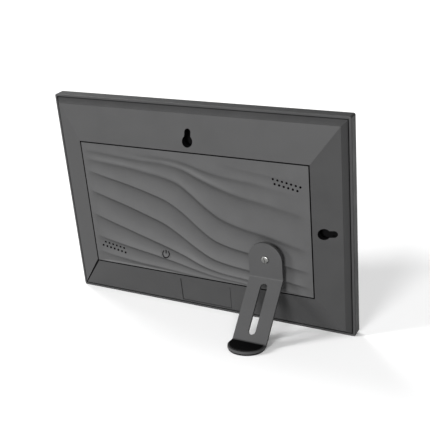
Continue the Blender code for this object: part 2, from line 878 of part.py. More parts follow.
def build_sockets():
    """Power and card sockets on the board's front side."""
    socket("usb_socket", USB_LENGTH, USB_SIZE, USB_UP, USB_LENGTH * 0.8)
    socket("card_slot", CARD_LENGTH, CARD_SIZE, CARD_UP, CARD_LENGTH * 0.9)


def build_speakers():
    """Two flat loudspeakers, each on a foam ring behind its holes, with their leads."""
    half_x = SPEAKER_SIZE[0] / 2
    half_z = SPEAKER_SIZE[1] / 2
    gasket_front = UNDER_PANEL - SPEAKER_GASKET_T
    body_back = gasket_front - CLEAR
    body_front = body_back - SPEAKER_ROOM_SHARE * (body_back - BOARD_BACK)
    for side, place in SPEAKERS.items():
        maker = bmesh.new()
        outer = rounded_rectangle(place, half_x, half_z, 2.0 * MM, 3)
        inner = rounded_rectangle(place, half_x - SPEAKER_LIP, half_z - SPEAKER_LIP, 1.0 * MM, 3)
        loops = [
            at_depth(outer, gasket_front),
            at_depth(outer, UNDER_PANEL),
            at_depth(inner, UNDER_PANEL),
            at_depth(inner, gasket_front),
        ]
        loft(maker, loops, closed=True)
        finish(f"speaker_gasket_{side}", maker, FOAM)
        plate(f"speaker_{side}", place, half_x, half_z, body_front, body_back, 2.0 * MM, INNER)
    lead_y = (body_front + body_back) / 2
    on_board = BOARD_BACK + LEAD_R + CLEAR
    half_way = (lead_y + on_board) / 2
    gap = CLEAR + LEAD_R
    left_x, left_z = SPEAKERS["left"]
    right_x, right_z = SPEAKERS["right"]
    start = left_x - half_x - gap
    tube(
        "speaker_lead_left",
        (
            (start, lead_y, left_z),
            (start - 1.5 * MM, half_way, left_z + 4 * MM),
            (start - 4 * MM, on_board + 0.5 * MM, left_z + 8 * MM),
            (start - 7 * MM, on_board, left_z + 12 * MM),
        ),
        LEAD_R,
        INNER,
    )
    start = right_x + half_x + gap
    end_x = BOARD_LEFT + 8 * MM
    end_z = BOARD_TOP - 12 * MM
    tube(
        "speaker_lead_right",
        (
            (start, lead_y, right_z),
            (start + 8 * MM, half_way, right_z + 2 * MM),
            ((start + end_x) / 2, on_board + 2 * MM, (right_z + end_z) / 2 + 4 * MM),
            (end_x - 12 * MM, on_board + 1 * MM, end_z + 2 * MM),
            (end_x, on_board, end_z),
        ),
        LEAD_R,
        INNER,
    )


def build_antenna():
    """Flat aerial stuck behind the wave panel, with its thin coaxial lead."""
    half_x = ANTENNA_SIZE[0] / 2
    half_z = ANTENNA_SIZE[1] / 2
    middle_x = HALF_W - OPENING_X - LEDGE_WIDTH - ANTENNA_INSET - half_x
    middle_z = HEIGHT - OPENING_Z - LEDGE_WIDTH - ANTENNA_INSET - half_z
    near = UNDER_PANEL - ANTENNA_T
    plate("wifi_antenna", (middle_x, middle_z), half_x, half_z, near, UNDER_PANEL, 0.8 * MM, COPPER)
    start_z = middle_z - half_z - LEAD_R - CLEAR
    on_board = BOARD_BACK + LEAD_R + CLEAR
    lead_y = near + ANTENNA_T / 2
    tube(
        "antenna_lead",
        (
            (middle_x + 6 * MM, lead_y, start_z),
            (middle_x + 6 * MM, lead_y - 1.5 * MM, start_z - 4 * MM),
            (middle_x + 14 * MM, on_board + 2 * MM, (start_z + BOARD_TOP) / 2),
            (middle_x + 16 * MM, on_board, BOARD_TOP - 8 * MM),
        ),
        LEAD_R,
        INNER,
    )


def build_ribbon():
    """Flat display cable from the display's lower edge up to the main board."""
    low = DISPLAY_MARGIN_Z - CLEAR - RIBBON_T
    over_board = BOARD_BACK + CLEAR + RIBBON_T
    middle = ribbon_x()
    turn_y = CHASSIS_BACK + 2 * CLEAR + RIBBON_T
    route = (
        (BACKLIGHT_Y, low),
        (BACKLIGHT_Y + 1.0 * MM, low - 2.0 * MM),
        ((BACKLIGHT_Y + turn_y) / 2, low - 3.0 * MM),
        (turn_y, low - 1.5 * MM),
        (turn_y + 0.6 * MM, low + 6.0 * MM),
        (over_board + 0.4 * MM, BOARD_LOW - 6.0 * MM),
        (over_board + 0.2 * MM, BOARD_LOW + 1.0 * MM),
        (over_board, BOARD_LOW + 1.5 * BOARD_SCREW_INSET),
    )
    points = smooth_route([Vector((middle, y, z)) for y, z in route], 3)
    rows = []
    for index, point in enumerate(points):
        before = points[max(index - 1, 0)]
        after = points[min(index + 1, len(points) - 1)]
        along = (after - before).normalized()
        outward = Vector((0.0, along.z, -along.y))
        rows.append((point, outward, RIBBON_WIDTH / 2 - SCREW_HEAD_R))
    maker = bmesh.new()
    loft(maker, strip_loops(rows, RIBBON_T))
    finish("display_ribbon", maker, COPPER)


# ------------------------------------------------------------------ rear housing
def keyhole_outline(centre, direction, grow=0.0):
    """Keyhole of a round entry and a neck that reaches along direction."""
    wide = KEYHOLE_R + grow
    neck = KEYHOLE_NECK_R + grow
    along = Vector(direction)
    across = Vector((-along.y, along.x))
    middle = Vector(centre)
    neck_end = KEYHOLE_REACH - KEYHOLE_NECK_R
    opening = math.asin(neck / wide)
    points = []
    steps = 32
    for step in range(steps + 1):
        angle = opening + (2 * math.pi - 2 * opening) * step / steps
        points.append(middle + (along * math.cos(angle) + across * math.sin(angle)) * wide)
    tip = middle + along * neck_end
    steps = 12
    for step in range(steps + 1):
        angle = -math.pi / 2 + math.pi * step / steps
        points.append(tip + (along * math.cos(angle) + across * math.sin(angle)) * neck)
    return [(point.x, point.y) for point in points]


def keyholes():
    """Where the two keyholes are and which way their necks point."""
    return {
        "top": ((0.0, HEIGHT - TOP_KEYHOLE_INSET), (0.0, 1.0)),
        "side": ((SIDE_KEYHOLE_INSET - HALF_W, MID_Z), (-1.0, 0.0)),
    }


def housing_inside(point):
    """Depth of the housing's inner face at a place on the top or side slope."""
    x, z = point
    inset_top = HEIGHT - z
    inset_side = x + HALF_W
    if inset_top < inset_side:
        share = (inset_top - INNER_STEP_INSET) / (OPENING_Z - LEDGE_WIDTH - INNER_STEP_INSET)
    else:
        share = (inset_side - INNER_STEP_INSET) / (OPENING_X - LEDGE_WIDTH - INNER_STEP_INSET)
    share = min(share, 1.0)
    return INNER_STEP_DEPTH + share * (LEDGE_BOTTOM - INNER_STEP_DEPTH)


def build_cup(side):
    """The closed pocket behind one keyhole."""
    centre, direction = keyholes()[side]
    along = Vector(direction)
    reach = (KEYHOLE_REACH - KEYHOLE_R) / 2
    middle = Vector(centre) + along * reach
    half_long = (KEYHOLE_REACH + KEYHOLE_R) / 2 + CUP_MARGIN
    half_wide = KEYHOLE_R + CUP_MARGIN
    half_x = half_long if abs(along.x) > 0.5 else half_wide
    half_z = half_wide if abs(along.x) > 0.5 else half_long
    outer = rounded_rectangle(middle, half_x + CUP_WALL, half_z + CUP_WALL, 2.5 * MM, 3)
    inner = rounded_rectangle(middle, half_x, half_z, 1.3 * MM, 3)
    floor = CUP_FLOOR_DEPTH

    def rim(outline):
        return [(x, housing_inside((x, z)) - CLEAR, z) for x, z in outline]

    maker = bmesh.new()
    loops = [
        at_depth(outer, floor),
        rim(outer),
        rim(inner),
        at_depth(inner, floor + CUP_WALL),
    ]
    loft(maker, loops)
    finish(f"keyhole_cup_{side}", maker, INNER)


def recess_cutter():
    """Slanted, shallow label recess on the lower slope."""
    low = slope_depth(inset_z=RECESS_BOTTOM)
    high = slope_depth(inset_z=RECESS_TOP)
    corners = (
        (-RECESS_HALF + RECESS_SHIFT + RECESS_SLANT, low, RECESS_BOTTOM),
        (RECESS_HALF + RECESS_SHIFT + RECESS_SLANT, low, RECESS_BOTTOM),
        (RECESS_HALF + RECESS_SHIFT - RECESS_SLANT, high, RECESS_TOP),
        (-RECESS_HALF + RECESS_SHIFT - RECESS_SLANT, high, RECESS_TOP),
    )
    maker = bmesh.new()
    floor = [(x, y - RECESS_DEPTH, z) for x, y, z in corners]
    above = [(x, y + RECESS_DEPTH, z) for x, y, z in corners]
    loft(maker, [floor, above])
    return cutter("cut_label_recess", maker)


def mitre_cutter():
    """Tapering joint line down the lower mitre on the +X side."""
    ends = (
        (Vector((HALF_W - OPENING_X, TOTAL_DEPTH, OPENING_Z)), MITRE_WIDE),
        (Vector((HALF_W - STEP_INSET, STEP_DEPTH, STEP_INSET)), MITRE_NARROW),
    )
    along = (ends[1][0] - ends[0][0]).normalized()
    side = along.cross(Vector((0.0, 1.0, 0.0))).normalized()
    rise = Vector((0.0, CLEAR, 0.0))
    deep = Vector((0.0, MITRE_DEPTH, 0.0))
    loops = []
    for point, half in ends:
        wide = side * half
        floor = wide * 0.4
        loops.append([point - wide + rise, point + wide + rise, point + floor - deep, point - floor - deep])
    loops[0] = [point - along * CLEAR for point in loops[0]]
    maker = bmesh.new()
    loft(maker, loops)
    return cutter("cut_mitre_line", maker)


def build_housing():
    """The sloped rear cover with its keyholes, label recess and panel ledge."""
    start = WALL + COVER_GAP
    base = WALL_DEPTH - COVER_BURY
    inner_base = start + COVER_T
    profile = (
        (start, start, base),
        (start + 0.1 * MM, start + 0.1 * MM, base + 0.5 * MM),
        (STEP_INSET, STEP_INSET, STEP_DEPTH),
        (OPENING_X, OPENING_Z, TOTAL_DEPTH),
        (OPENING_X, OPENING_Z, LEDGE_Y),
        (OPENING_X + LEDGE_WIDTH, OPENING_Z + LEDGE_WIDTH, LEDGE_Y),
        (OPENING_X + LEDGE_WIDTH, OPENING_Z + LEDGE_WIDTH, LEDGE_BOTTOM),
        (OPENING_X - LEDGE_WIDTH, OPENING_Z - LEDGE_WIDTH, LEDGE_BOTTOM),
        (INNER_STEP_INSET, INNER_STEP_INSET, INNER_STEP_DEPTH),
        (inner_base, inner_base, base),
    )
    housing = frame_ring("rear_housing", profile, CHARCOAL)
    for side, (centre, direction) in keyholes().items():
        maker = bmesh.new()
        outline = keyhole_outline(centre, direction)
        loft(maker, [at_depth(outline, CUP_FLOOR_DEPTH), at_depth(outline, TOTAL_DEPTH + CLEAR)])
        boolean(housing, cutter(f"cut_keyhole_{side}", maker))
        build_cup(side)
    boolean(housing, recess_cutter())
    boolean(housing, mitre_cutter())


# --------------------------------------------------------------------- wave panel
def smoothstep(value):
    """Ease from 0 to 1."""
    value = min(max(value, 0.0), 1.0)
    return value * value * (3.0 - 2.0 * value)


def crease_value(crease, across, column):
    """Read one column of a crease on a smooth curve through its points."""
    points = crease[::-1]
    places = [point[0] for point in points]
    values = [point[column] for point in points]
    across = min(max(across, places[0]), places[-1])
    index = 0
    while index < len(places) - 2 and across > places[index + 1]:
        index += 1

    def slope(at):
        before = max(at - 1, 0)
        after = min(at + 1, len(places) - 1)
        return (values[after] - values[before]) / (places[after] - places[before])

    run = places[index + 1] - places[index]
    share = (across - places[index]) / run
    rise = values[index + 1] - values[index]
    first = slope(index) * run
    last = slope(index + 1) * run
    curve = first * share + (3 * rise - 2 * first - last) * share**2
    return values[index] + curve + (first + last - 2 * rise) * share**3


def wave_drop(x, z):
    """How far the wave relief lies below the panel's rim level at a place."""
    across = x / PANEL_HALF_X
    levels = [crease_value(crease, across, 1) * PANEL_HALF_Z for crease in CREASES]
    falls = [max(crease_value(crease, across, 2), 0.0) * MM for crease in CREASES]
    levels.append(levels[-1] - RELIEF_LOWEST_GAP * PANEL_HALF_Z)
    falls.append(falls[-1])
    drop = 0.0
    for top, bottom, fall, next_fall in zip(levels, levels[1:], falls, falls[1:]):
        if not bottom < z <= top:
            continue
        gap = max(top - bottom, RELIEF_LEAST_GAP)
        down = min(top - z, gap)
        share = down / gap
        run = min(max(gap * RELIEF_RUN_SHARE, RELIEF_RUN_LEAST), RELIEF_RUN_MOST)
        crest = (fall * (1.0 - share) + next_fall * share) * RELIEF_PROUD
        deep = min(fall * (1.0 + RELIEF_PROUD), gap * RELIEF_STEEPEST)
        trough = deep * (1.0 - math.exp(-down / run)) * (1.0 - share) / RELIEF_PEAK
        drop = RELIEF_MOST * math.tanh(trough / RELIEF_MOST) - crest
    fade = smoothstep((PANEL_HALF_X - x) / FADE_LEFT) * smoothstep((PANEL_HALF_X + x) / FADE_RIGHT)
    return drop * fade * smoothstep((PANEL_HALF_Z - abs(z)) / FADE_END)


def panel_drop(x, z):
    """Wave relief with level pads under the pivot and round the power button."""
    drop = wave_drop(x, z)
    pivot = math.hypot(x - PIVOT_X, z + MID_Z - PIVOT_Z)
    drop *= smoothstep((pivot - SPACER_R - CLEAR) / SPACER_R)
    button = math.hypot(x - BUTTON_X, z + MID_Z - BUTTON_Z)
    keep = smoothstep((button - BUTTON_R - 2 * CLEAR) / BUTTON_R)
    return drop * keep + BUTTON_DROP * (1.0 - keep)


BUTTON_DROP = wave_drop(BUTTON_X, BUTTON_Z - MID_Z)


def hole_places(place):
    """The long and the short row of loudspeaker holes about one place."""
    centre = Vector(place)
    along = Vector((math.cos(HOLE_SLANT), math.sin(HOLE_SLANT)))
    across = Vector((-along.y, along.x))
    outward = 1.0 if place[1] > MID_Z else -1.0
    places = []
    for count, side in ((LONG_ROW, outward), (SHORT_ROW, -outward)):
        for index in range(count):
            step = (index - (count - 1) / 2) * HOLE_PITCH
            places.append(centre + along * step + across * (side * HOLE_ROW_PITCH / 2))
    return places


def build_panel():
    """The flush centre panel with its wave relief and its holes."""
    maker = bmesh.new()
    turn = Matrix.Translation((0.0, TOTAL_DEPTH, MID_Z)) @ Matrix.Rotation(math.radians(90.0), 4, "X")
    stretch = Matrix.Diagonal((PANEL_HALF_X, PANEL_HALF_Z, 1.0, 1.0))
    bmesh.ops.create_grid(
        maker,
        x_segments=PANEL_CELLS_X,
        y_segments=PANEL_CELLS_Z,
        size=1.0,
        matrix=turn @ stretch,
    )
    for corner in maker.verts:
        corner.co.y -= panel_drop(corner.co.x, corner.co.z - MID_Z)
    rim = [edge for edge in maker.edges if edge.is_boundary]
    sides = bmesh.ops.extrude_edge_only(maker, edges=rim)
    lowered = [item for item in sides["geom"] if isinstance(item, bmesh.types.BMVert)]
    for corner in lowered:
        corner.co.y = PANEL_BACK
    base = [item for item in sides["geom"] if isinstance(item, bmesh.types.BMEdge)]
    bmesh.ops.edgeloop_fill(maker, edges=[edge for edge in base if edge.is_boundary])
    bmesh.ops.recalc_face_normals(maker, faces=maker.faces)
    panel = finish("rear_panel", maker, PANEL_GREY)
    holes = bmesh.new()
    near = PANEL_BACK - CLEAR
    far = TOTAL_DEPTH + CLEAR
    for speaker in SPEAKERS.values():
        for place in hole_places(speaker):
            add_pin(holes, place, near, far, HOLE_R, 10)
    add_pin(holes, (BUTTON_X, BUTTON_Z), near, far, BUTTON_R + CLEAR, 24)
    add_pin(holes, (PIVOT_X, PIVOT_Z), near, far, PIVOT_R + PIVOT_CLEAR, 16)
    boolean(panel, cutter("cut_panel_holes", holes))


def build_button():
    """Power button: flush cap, retaining flange and stem over its switch."""
    switch_top = BOARD_BACK + CLEAR + SWITCH_BODY_H + SWITCH_STEM_H
    stem_end = switch_top + BUTTON_TRAVEL + CLEAR
    top = TOTAL_DEPTH - BUTTON_DROP
    flange_r = BUTTON_R + BUTTON_FLANGE
    profile = (
        (BUTTON_STEM_R, stem_end),
        (BUTTON_STEM_R, UNDER_PANEL - BUTTON_FLANGE_T),
        (flange_r, UNDER_PANEL - BUTTON_FLANGE_T),
        (flange_r, UNDER_PANEL),
        (BUTTON_R, UNDER_PANEL),
        (BUTTON_R, top - 0.2 * MM),
        (BUTTON_R - 0.2 * MM, top),
    )
    turned_piece(
        "power_button",
        (BUTTON_X, BUTTON_Z),
        profile,
        PANEL_GREY,
        sides=24,
        origin=(BUTTON_X, 0.0, BUTTON_Z),
    )


# ---------------------------------------------------------------------- stand leg
def build_pivot():
    """Spacer, friction washer, backing plate, nut and shoulder screw of the swivel."""
    place = (PIVOT_X, PIVOT_Z)
    hole = PIVOT_R + PIVOT_CLEAR
    washer_front = LEG_BACK - CLEAR
    washer_back = washer_front - FRICTION_WASHER_T
    washer(
        "pivot_spacer", place, TOTAL_DEPTH + CLEAR, washer_back - CLEAR, hole, SPACER_R, INNER, sides=32
    )
    washer("friction_washer", place, washer_back, washer_front, hole, SPACER_R - 0.5 * MM, STEEL, sides=32)
    plate_front = UNDER_PANEL
    plate_back = plate_front - PIVOT_PLATE_T
    backing = plate(
        "pivot_plate",
        place,
        PIVOT_PLATE_HALF[0],
        PIVOT_PLATE_HALF[1],
        plate_back,
        plate_front,
        2.0 * MM,
        STEEL,
    )
    maker = bmesh.new()
    add_pin(maker, place, plate_back - CLEAR, plate_front + CLEAR, hole, 16)
    boolean(backing, cutter("cut_pivot_plate", maker))
    nut_front = plate_back - CLEAR
    maker = bmesh.new()
    hexagon = circle(place, NUT_R, 12)
    flat = NUT_R * math.cos(math.radians(30.0))
    for index in range(1, 12, 2):
        angle = math.radians(30.0 * index)
        hexagon[index] = (place[0] + flat * math.cos(angle), place[1] + flat * math.sin(angle))
    bore = circle(place, hole, 12)
    nut_back = nut_front - NUT_H
    loops = [
        at_depth(hexagon, nut_back),
        at_depth(hexagon, nut_front),
        at_depth(bore, nut_front),
        at_depth(bore, nut_back),
    ]
    loft(maker, loops, closed=True)
    finish("pivot_nut", maker, STEEL)
    head = LEG_FRONT + CLEAR
    profile = (
        (PIVOT_R * 0.8, nut_back - PIVOT_TAIL),
        (PIVOT_R, nut_back - PIVOT_TAIL + 0.4 * MM),
        (PIVOT_R, head),
        (PIVOT_HEAD_R, head),
        (PIVOT_HEAD_R, head + PIVOT_HEAD_H * 0.6),
        (PIVOT_HEAD_R - 0.35 * MM, head + PIVOT_HEAD_H),
    )
    turned_piece("pivot_screw", place, profile, NICKEL, sides=24)


def rounded_path(corners, radius, steps):
    """Corner points joined by straight runs and arcs of one radius."""
    path = [corners[0]]
    for before, corner, after in zip(corners, corners[1:], corners[2:]):
        back = (before - corner).normalized()
        ahead = (after - corner).normalized()
        half_turn = back.angle(ahead) / 2
        reach = radius / math.tan(half_turn)
        middle = corner + (back + ahead).normalized() * (radius / math.sin(half_turn))
        start = (corner + back * reach - middle).normalized()
        end = (corner + ahead * reach - middle).normalized()
        for step in range(steps + 1):
            path.append(middle + start.slerp(end, step / steps) * radius)
    path.append(corners[-1])
    return path


def leg_centreline():
    """Middle of the leg's plate from the top of its head to the end of its foot."""
    half = LEG_T / 2
    head_line = Vector((PIVOT_X, LEG_FRONT - half, PIVOT_Z + LEG_HALF))
    bend_shift = half * math.tan(LEG_ANGLE / 2)
    bend = LEG_BEND + Vector((0.0, -half, -bend_shift))
    fold_turn = LEG_DOWN.angle(FOOT_ALONG)
    fold_shift = half * math.tan(fold_turn / 2)
    fold = FOOT_FOLD - FOOT_UP * half - FOOT_ALONG * fold_shift
    end = FOOT_FOLD + FOOT_ALONG * FOOT_LENGTH - FOOT_UP * half
    return rounded_path([head_line, bend, fold, end], LEG_BEND_R, 4)


def leg_rows():
    """Rows across the leg: round at the head and at the end of the foot."""
    path = leg_centreline()
    runs = [(end - start).length for start, end in zip(path, path[1:])]
    stations = [sum(runs[:index]) for index in range(len(path))]
    total = stations[-1]
    steps = 9
    ease = [LEG_HALF * (1.0 - math.cos(math.pi / 2 * (i + 0.6) / (steps + 0.6))) for i in range(steps)]
    places = sorted(
        [station for station in stations if LEG_HALF <= station <= total - LEG_HALF]
        + ease
        + [total - value for value in ease]
        + [LEG_HALF, total - LEG_HALF]
    )
    rows = []
    last = -1.0
    for place in places:
        if place - last < 0.02 * MM:
            continue
        last = place
        index = 0
        while index < len(runs) - 1 and place > stations[index + 1] + 1e-9:
            index += 1
        share = (place - stations[index]) / runs[index]
        centre = path[index].lerp(path[index + 1], share)
        along = (path[index + 1] - path[index]).normalized()
        if share > 0.999 and index < len(runs) - 1:
            along = (along + (path[index + 2] - path[index + 1]).normalized()).normalized()
        outward = Vector((0.0, -along.z, along.y))
        end_gap = min(place, total - place)
        half = LEG_HALF
        if end_gap < LEG_HALF:
            half = math.sqrt(LEG_HALF**2 - (LEG_HALF - end_gap) ** 2)
        rows.append((centre, outward, half))
    return rows


def slot_cutter():
    """Round-ended slot down the middle of the lower leg."""
    outline = []
    first = SLOT_START + SLOT_HALF
    second = SLOT_START + SLOT_LENGTH - SLOT_HALF
    steps = 8
    for centre, begin in ((second, 0.0), (first, math.pi)):
        for step in range(steps + 1):
            angle = begin + math.pi * step / steps
            outline.append((SLOT_HALF * math.cos(angle), centre + SLOT_HALF * math.sin(angle)))
    maker = bmesh.new()
    loops = []
    for reach in (-2 * LEG_T, LEG_T):
        loops.append(
            [LEG_BEND + Vector((x, 0.0, 0.0)) + LEG_DOWN * along + LEG_OUT * reach for x, along in outline]
        )
    loft(maker, loops)
    return cutter("cut_leg_slot", maker)


def foot_outline(half, start, end):
    """Straight-backed outline with a round end, as (across, along the foot)."""
    outline = [(half, start)]
    steps = 14
    middle = end - half
    for step in range(steps + 1):
        angle = math.pi * step / steps
        outline.append((half * math.cos(angle), middle + half * math.sin(angle)))
    outline.append((-half, start))
    return outline


def foot_layer(name, inset, near, far, colour, start):
    """A rubber layer on the foot between two heights from the plate's top face."""
    outline = foot_outline(LEG_HALF - inset, start, FOOT_LENGTH - inset)
    maker = bmesh.new()
    loops = []
    for rise in (near, far):
        loops.append(
            [
                FOOT_FOLD + Vector((x, 0.0, 0.0)) + FOOT_ALONG * along + FOOT_UP * rise
                for x, along in outline
            ]
        )
    loft(maker, loops)
    return finish(name, maker, colour, origin=(PIVOT_X, 0.0, PIVOT_Z))


def build_leg():
    """Bent plate leg with its pivot hole and slot, and the rubber on its foot."""
    maker = bmesh.new()
    loft(maker, strip_loops(leg_rows(), LEG_T))
    leg = finish("stand_leg", maker, LEG_PAINT, origin=(PIVOT_X, 0.0, PIVOT_Z))
    maker = bmesh.new()
    hole = PIVOT_R + PIVOT_CLEAR
    add_pin(maker, (PIVOT_X, PIVOT_Z), LEG_BACK - LEG_T, LEG_FRONT + LEG_T, hole, 24)
    boolean(leg, cutter("cut_leg_hole", maker))
    boolean(leg, slot_cutter())
    foot_layer("foot_pad", PAD_INSET, CLEAR, CLEAR + PAD_T, RUBBER, start=2.2 * MM)
    under = -LEG_T - CLEAR
    foot_layer("foot_sole", SOLE_INSET, under - SOLE_T, under, RUBBER, start=1.0 * MM)


build_bezel()
build_display()
build_chassis()
build_board()
build_speakers()
build_antenna()
build_ribbon()
build_housing()
build_panel()
build_button()
build_pivot()
build_leg()
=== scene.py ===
"""Finish of a ten inch digital photo frame that stands on its swivelling rear leg.

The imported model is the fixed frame. Each class below is one sub-assembly: it holds
its sizes, shapes its pieces in the frame's own axes (across, depth from the front
face, up from the bottom edge), and leans them back into the standing pose.
"""

import json
import logging
import math
from dataclasses import dataclass
from enum import Enum
from typing import Callable, Iterable, Sequence

import bmesh
import bpy
import numpy as np
from mathutils import Matrix, Vector


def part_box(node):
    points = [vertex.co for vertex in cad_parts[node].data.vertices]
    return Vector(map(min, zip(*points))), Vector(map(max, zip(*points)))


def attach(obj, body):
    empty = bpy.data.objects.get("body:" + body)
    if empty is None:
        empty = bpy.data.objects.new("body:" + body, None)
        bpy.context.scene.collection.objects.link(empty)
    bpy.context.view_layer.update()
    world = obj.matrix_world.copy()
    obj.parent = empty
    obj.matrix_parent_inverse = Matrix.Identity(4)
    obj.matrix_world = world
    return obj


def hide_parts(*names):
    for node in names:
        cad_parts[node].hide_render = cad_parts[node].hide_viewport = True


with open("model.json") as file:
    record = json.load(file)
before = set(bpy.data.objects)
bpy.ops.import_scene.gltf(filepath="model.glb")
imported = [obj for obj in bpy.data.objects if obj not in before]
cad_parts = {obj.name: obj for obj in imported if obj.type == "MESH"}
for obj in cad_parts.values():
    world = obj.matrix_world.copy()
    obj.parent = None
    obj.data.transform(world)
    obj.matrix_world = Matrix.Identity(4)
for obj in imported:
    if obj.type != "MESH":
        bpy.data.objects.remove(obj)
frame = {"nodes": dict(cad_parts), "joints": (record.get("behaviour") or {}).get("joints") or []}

LOG = logging.getLogger("photo_frame")
MM = 0.001
# Vertex attribute for painted shade: how dark a place is painted just below a dune crest of the wave panel.
PAINTED_SHADE_LAYER = "drop"

Outline = list[tuple[float, float]]
Ring = list[Vector]


# ------------------------------------------------------------------ frame's own axes
@dataclass(frozen=True)
class Body:
    """Overall sizes of the frame, shared by every sub-assembly."""

    width: float = 260.0 * MM
    height: float = 181.15 * MM
    wall_depth: float = 9.73 * MM
    total_depth: float = 21.55 * MM
    opening_x: float = 27.99 * MM
    opening_z: float = 34.89 * MM
    panel_gap: float = 1.05 * MM
    panel_thickness: float = 4.0 * MM
    pivot_up: float = 66.0 * MM
    leg_front: float = 27.5 * MM
    clear: float = 0.3 * MM

    @property
    def half_width(self) -> float:
        """Half of the frame's width."""
        return self.width / 2

    @property
    def middle(self) -> float:
        """Height of the frame's middle above its bottom edge."""
        return self.height / 2

    @property
    def panel_half(self) -> tuple[float, float]:
        """Half width and half height of the centre panel."""
        across = self.half_width - self.opening_x - self.panel_gap
        up = self.middle - self.opening_z - self.panel_gap
        return across, up


class Lean:
    """The standing pose: turns the frame's own axes into the world's."""

    def __init__(self, body: Body) -> None:
        """Read the lean and the place from the stand's joint.

        Args:
            body: The overall sizes.
        """
        joint = next(j for j in frame["joints"] if j["name"] == "stand_swivel")
        self.pivot = Vector(joint["pos_m"])
        self.rear = Vector(joint["axis"]).normalized()
        self.up = Vector((0.0, -self.rear.z, self.rear.y))
        origin = self.pivot - self.rear * body.leg_front - self.up * body.pivot_up
        origin.x = 0.0
        self.matrix = Matrix.Translation(origin) @ Matrix(
            (
                (1.0, 0.0, 0.0, 0.0),
                (0.0, self.rear.y, self.up.y, 0.0),
                (0.0, self.rear.z, self.up.z, 0.0),
                (0.0, 0.0, 0.0, 1.0),
            )
        )


# -------------------------------------------------------------------------- finishes
class Slot(Enum):
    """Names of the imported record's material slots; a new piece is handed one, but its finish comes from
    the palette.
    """

    CHARCOAL = "charcoal_plastic"
    PANEL = "panel_plastic"
    LEG = "leg_paint"
    RUBBER = "black_rubber"
    GLASS = "cover_glass"
    NICKEL = "nickel"
    INNER = "inner_plastic"


class NodeBench:
    """Short-hand for wiring one material's nodes."""

    def __init__(self, name: str) -> None:
        """Start a material with only its shader and output.

        Args:
            name: The material's name.
        """
        self.material = bpy.data.materials.new(name)
        self.material.use_nodes = True
        self.tree = self.material.node_tree
        self.shader = self.tree.nodes["Principled BSDF"]

    def node(self, kind: str, **settings: object) -> bpy.types.Node:
        """Add a node and set its properties."""
        made = self.tree.nodes.new(kind)
        for key, value in settings.items():
            setattr(made, key, value)
        return made

    def link(self, source: bpy.types.NodeSocket, target: bpy.types.NodeSocket) -> None:
        """Join two sockets."""
        self.tree.links.new(source, target)

    def noise(self, scale: float, detail: float, roughness: float = 0.55) -> bpy.types.NodeSocket:
        """Noise over the object's own coordinates.

        Args:
            scale: Features per metre.
            detail: Octaves of finer noise.
            roughness: Share that each finer octave keeps.

        Returns:
            The noise value's socket.
        """
        place = self.node("ShaderNodeTexCoord")
        noise = self.node("ShaderNodeTexNoise")
        noise.inputs["Scale"].default_value = scale
        noise.inputs["Detail"].default_value = detail
        noise.inputs["Roughness"].default_value = roughness
        self.link(place.outputs["Object"], noise.inputs["Vector"])
        return noise.outputs["Fac"]

    def ramp(self, source: bpy.types.NodeSocket, low: float, high: float) -> bpy.types.NodeSocket:
        """Map a noise value to a range of plain numbers."""
        spread = self.node("ShaderNodeMapRange")
        spread.inputs["From Min"].default_value = 0.3
        spread.inputs["From Max"].default_value = 0.7
        spread.inputs["To Min"].default_value = low
        spread.inputs["To Max"].default_value = high
        self.link(source, spread.inputs["Value"])
        return spread.outputs["Result"]

    def blend(
        self, source: bpy.types.NodeSocket, first: Sequence[float], second: Sequence[float]
    ) -> bpy.types.NodeSocket:
        """Mix two colours by a value."""
        mix = self.node("ShaderNodeMix", data_type="RGBA")
        mix.inputs["A"].default_value = (*first, 1.0)
        mix.inputs["B"].default_value = (*second, 1.0)
        self.link(source, mix.inputs["Factor"])
        return mix.outputs["Result"]

    def paint_crest_shade(self, colour: bpy.types.NodeSocket, share: float) -> bpy.types.NodeSocket:
        """Paint shade into a colour just below the crests of a moulded relief, where shade falls.

        Args:
            colour: The colour's socket.
            share: Share of the colour that the painted shade takes away at its darkest; 0 for none.

        Returns:
            The changed colour's socket.
        """
        if share == 0.0:
            return colour
        drop = self.node("ShaderNodeAttribute", attribute_name=PAINTED_SHADE_LAYER)
        keep = self.node("ShaderNodeMapRange")
        keep.inputs["To Min"].default_value = 1.0
        keep.inputs["To Max"].default_value = 1.0 - share
        self.link(drop.outputs["Fac"], keep.inputs["Value"])
        mix = self.node("ShaderNodeMix", data_type="RGBA", blend_type="MULTIPLY")
        mix.inputs["Factor"].default_value = 1.0
        self.link(colour, mix.inputs["A"])
        self.link(keep.outputs["Result"], mix.inputs["B"])
        return mix.outputs["Result"]

    def bump(self, height: bpy.types.NodeSocket, distance: float, strength: float) -> None:
        """Feed a height into the shader's normal, after any bump already there."""
        bump = self.node("ShaderNodeBump")
        bump.inputs["Distance"].default_value = distance
        bump.inputs["Strength"].default_value = strength
        self.link(height, bump.inputs["Height"])
        existing = self.shader.inputs["Normal"]
        if existing.is_linked:
            self.link(existing.links[0].from_socket, bump.inputs["Normal"])
        self.link(bump.outputs["Normal"], existing)


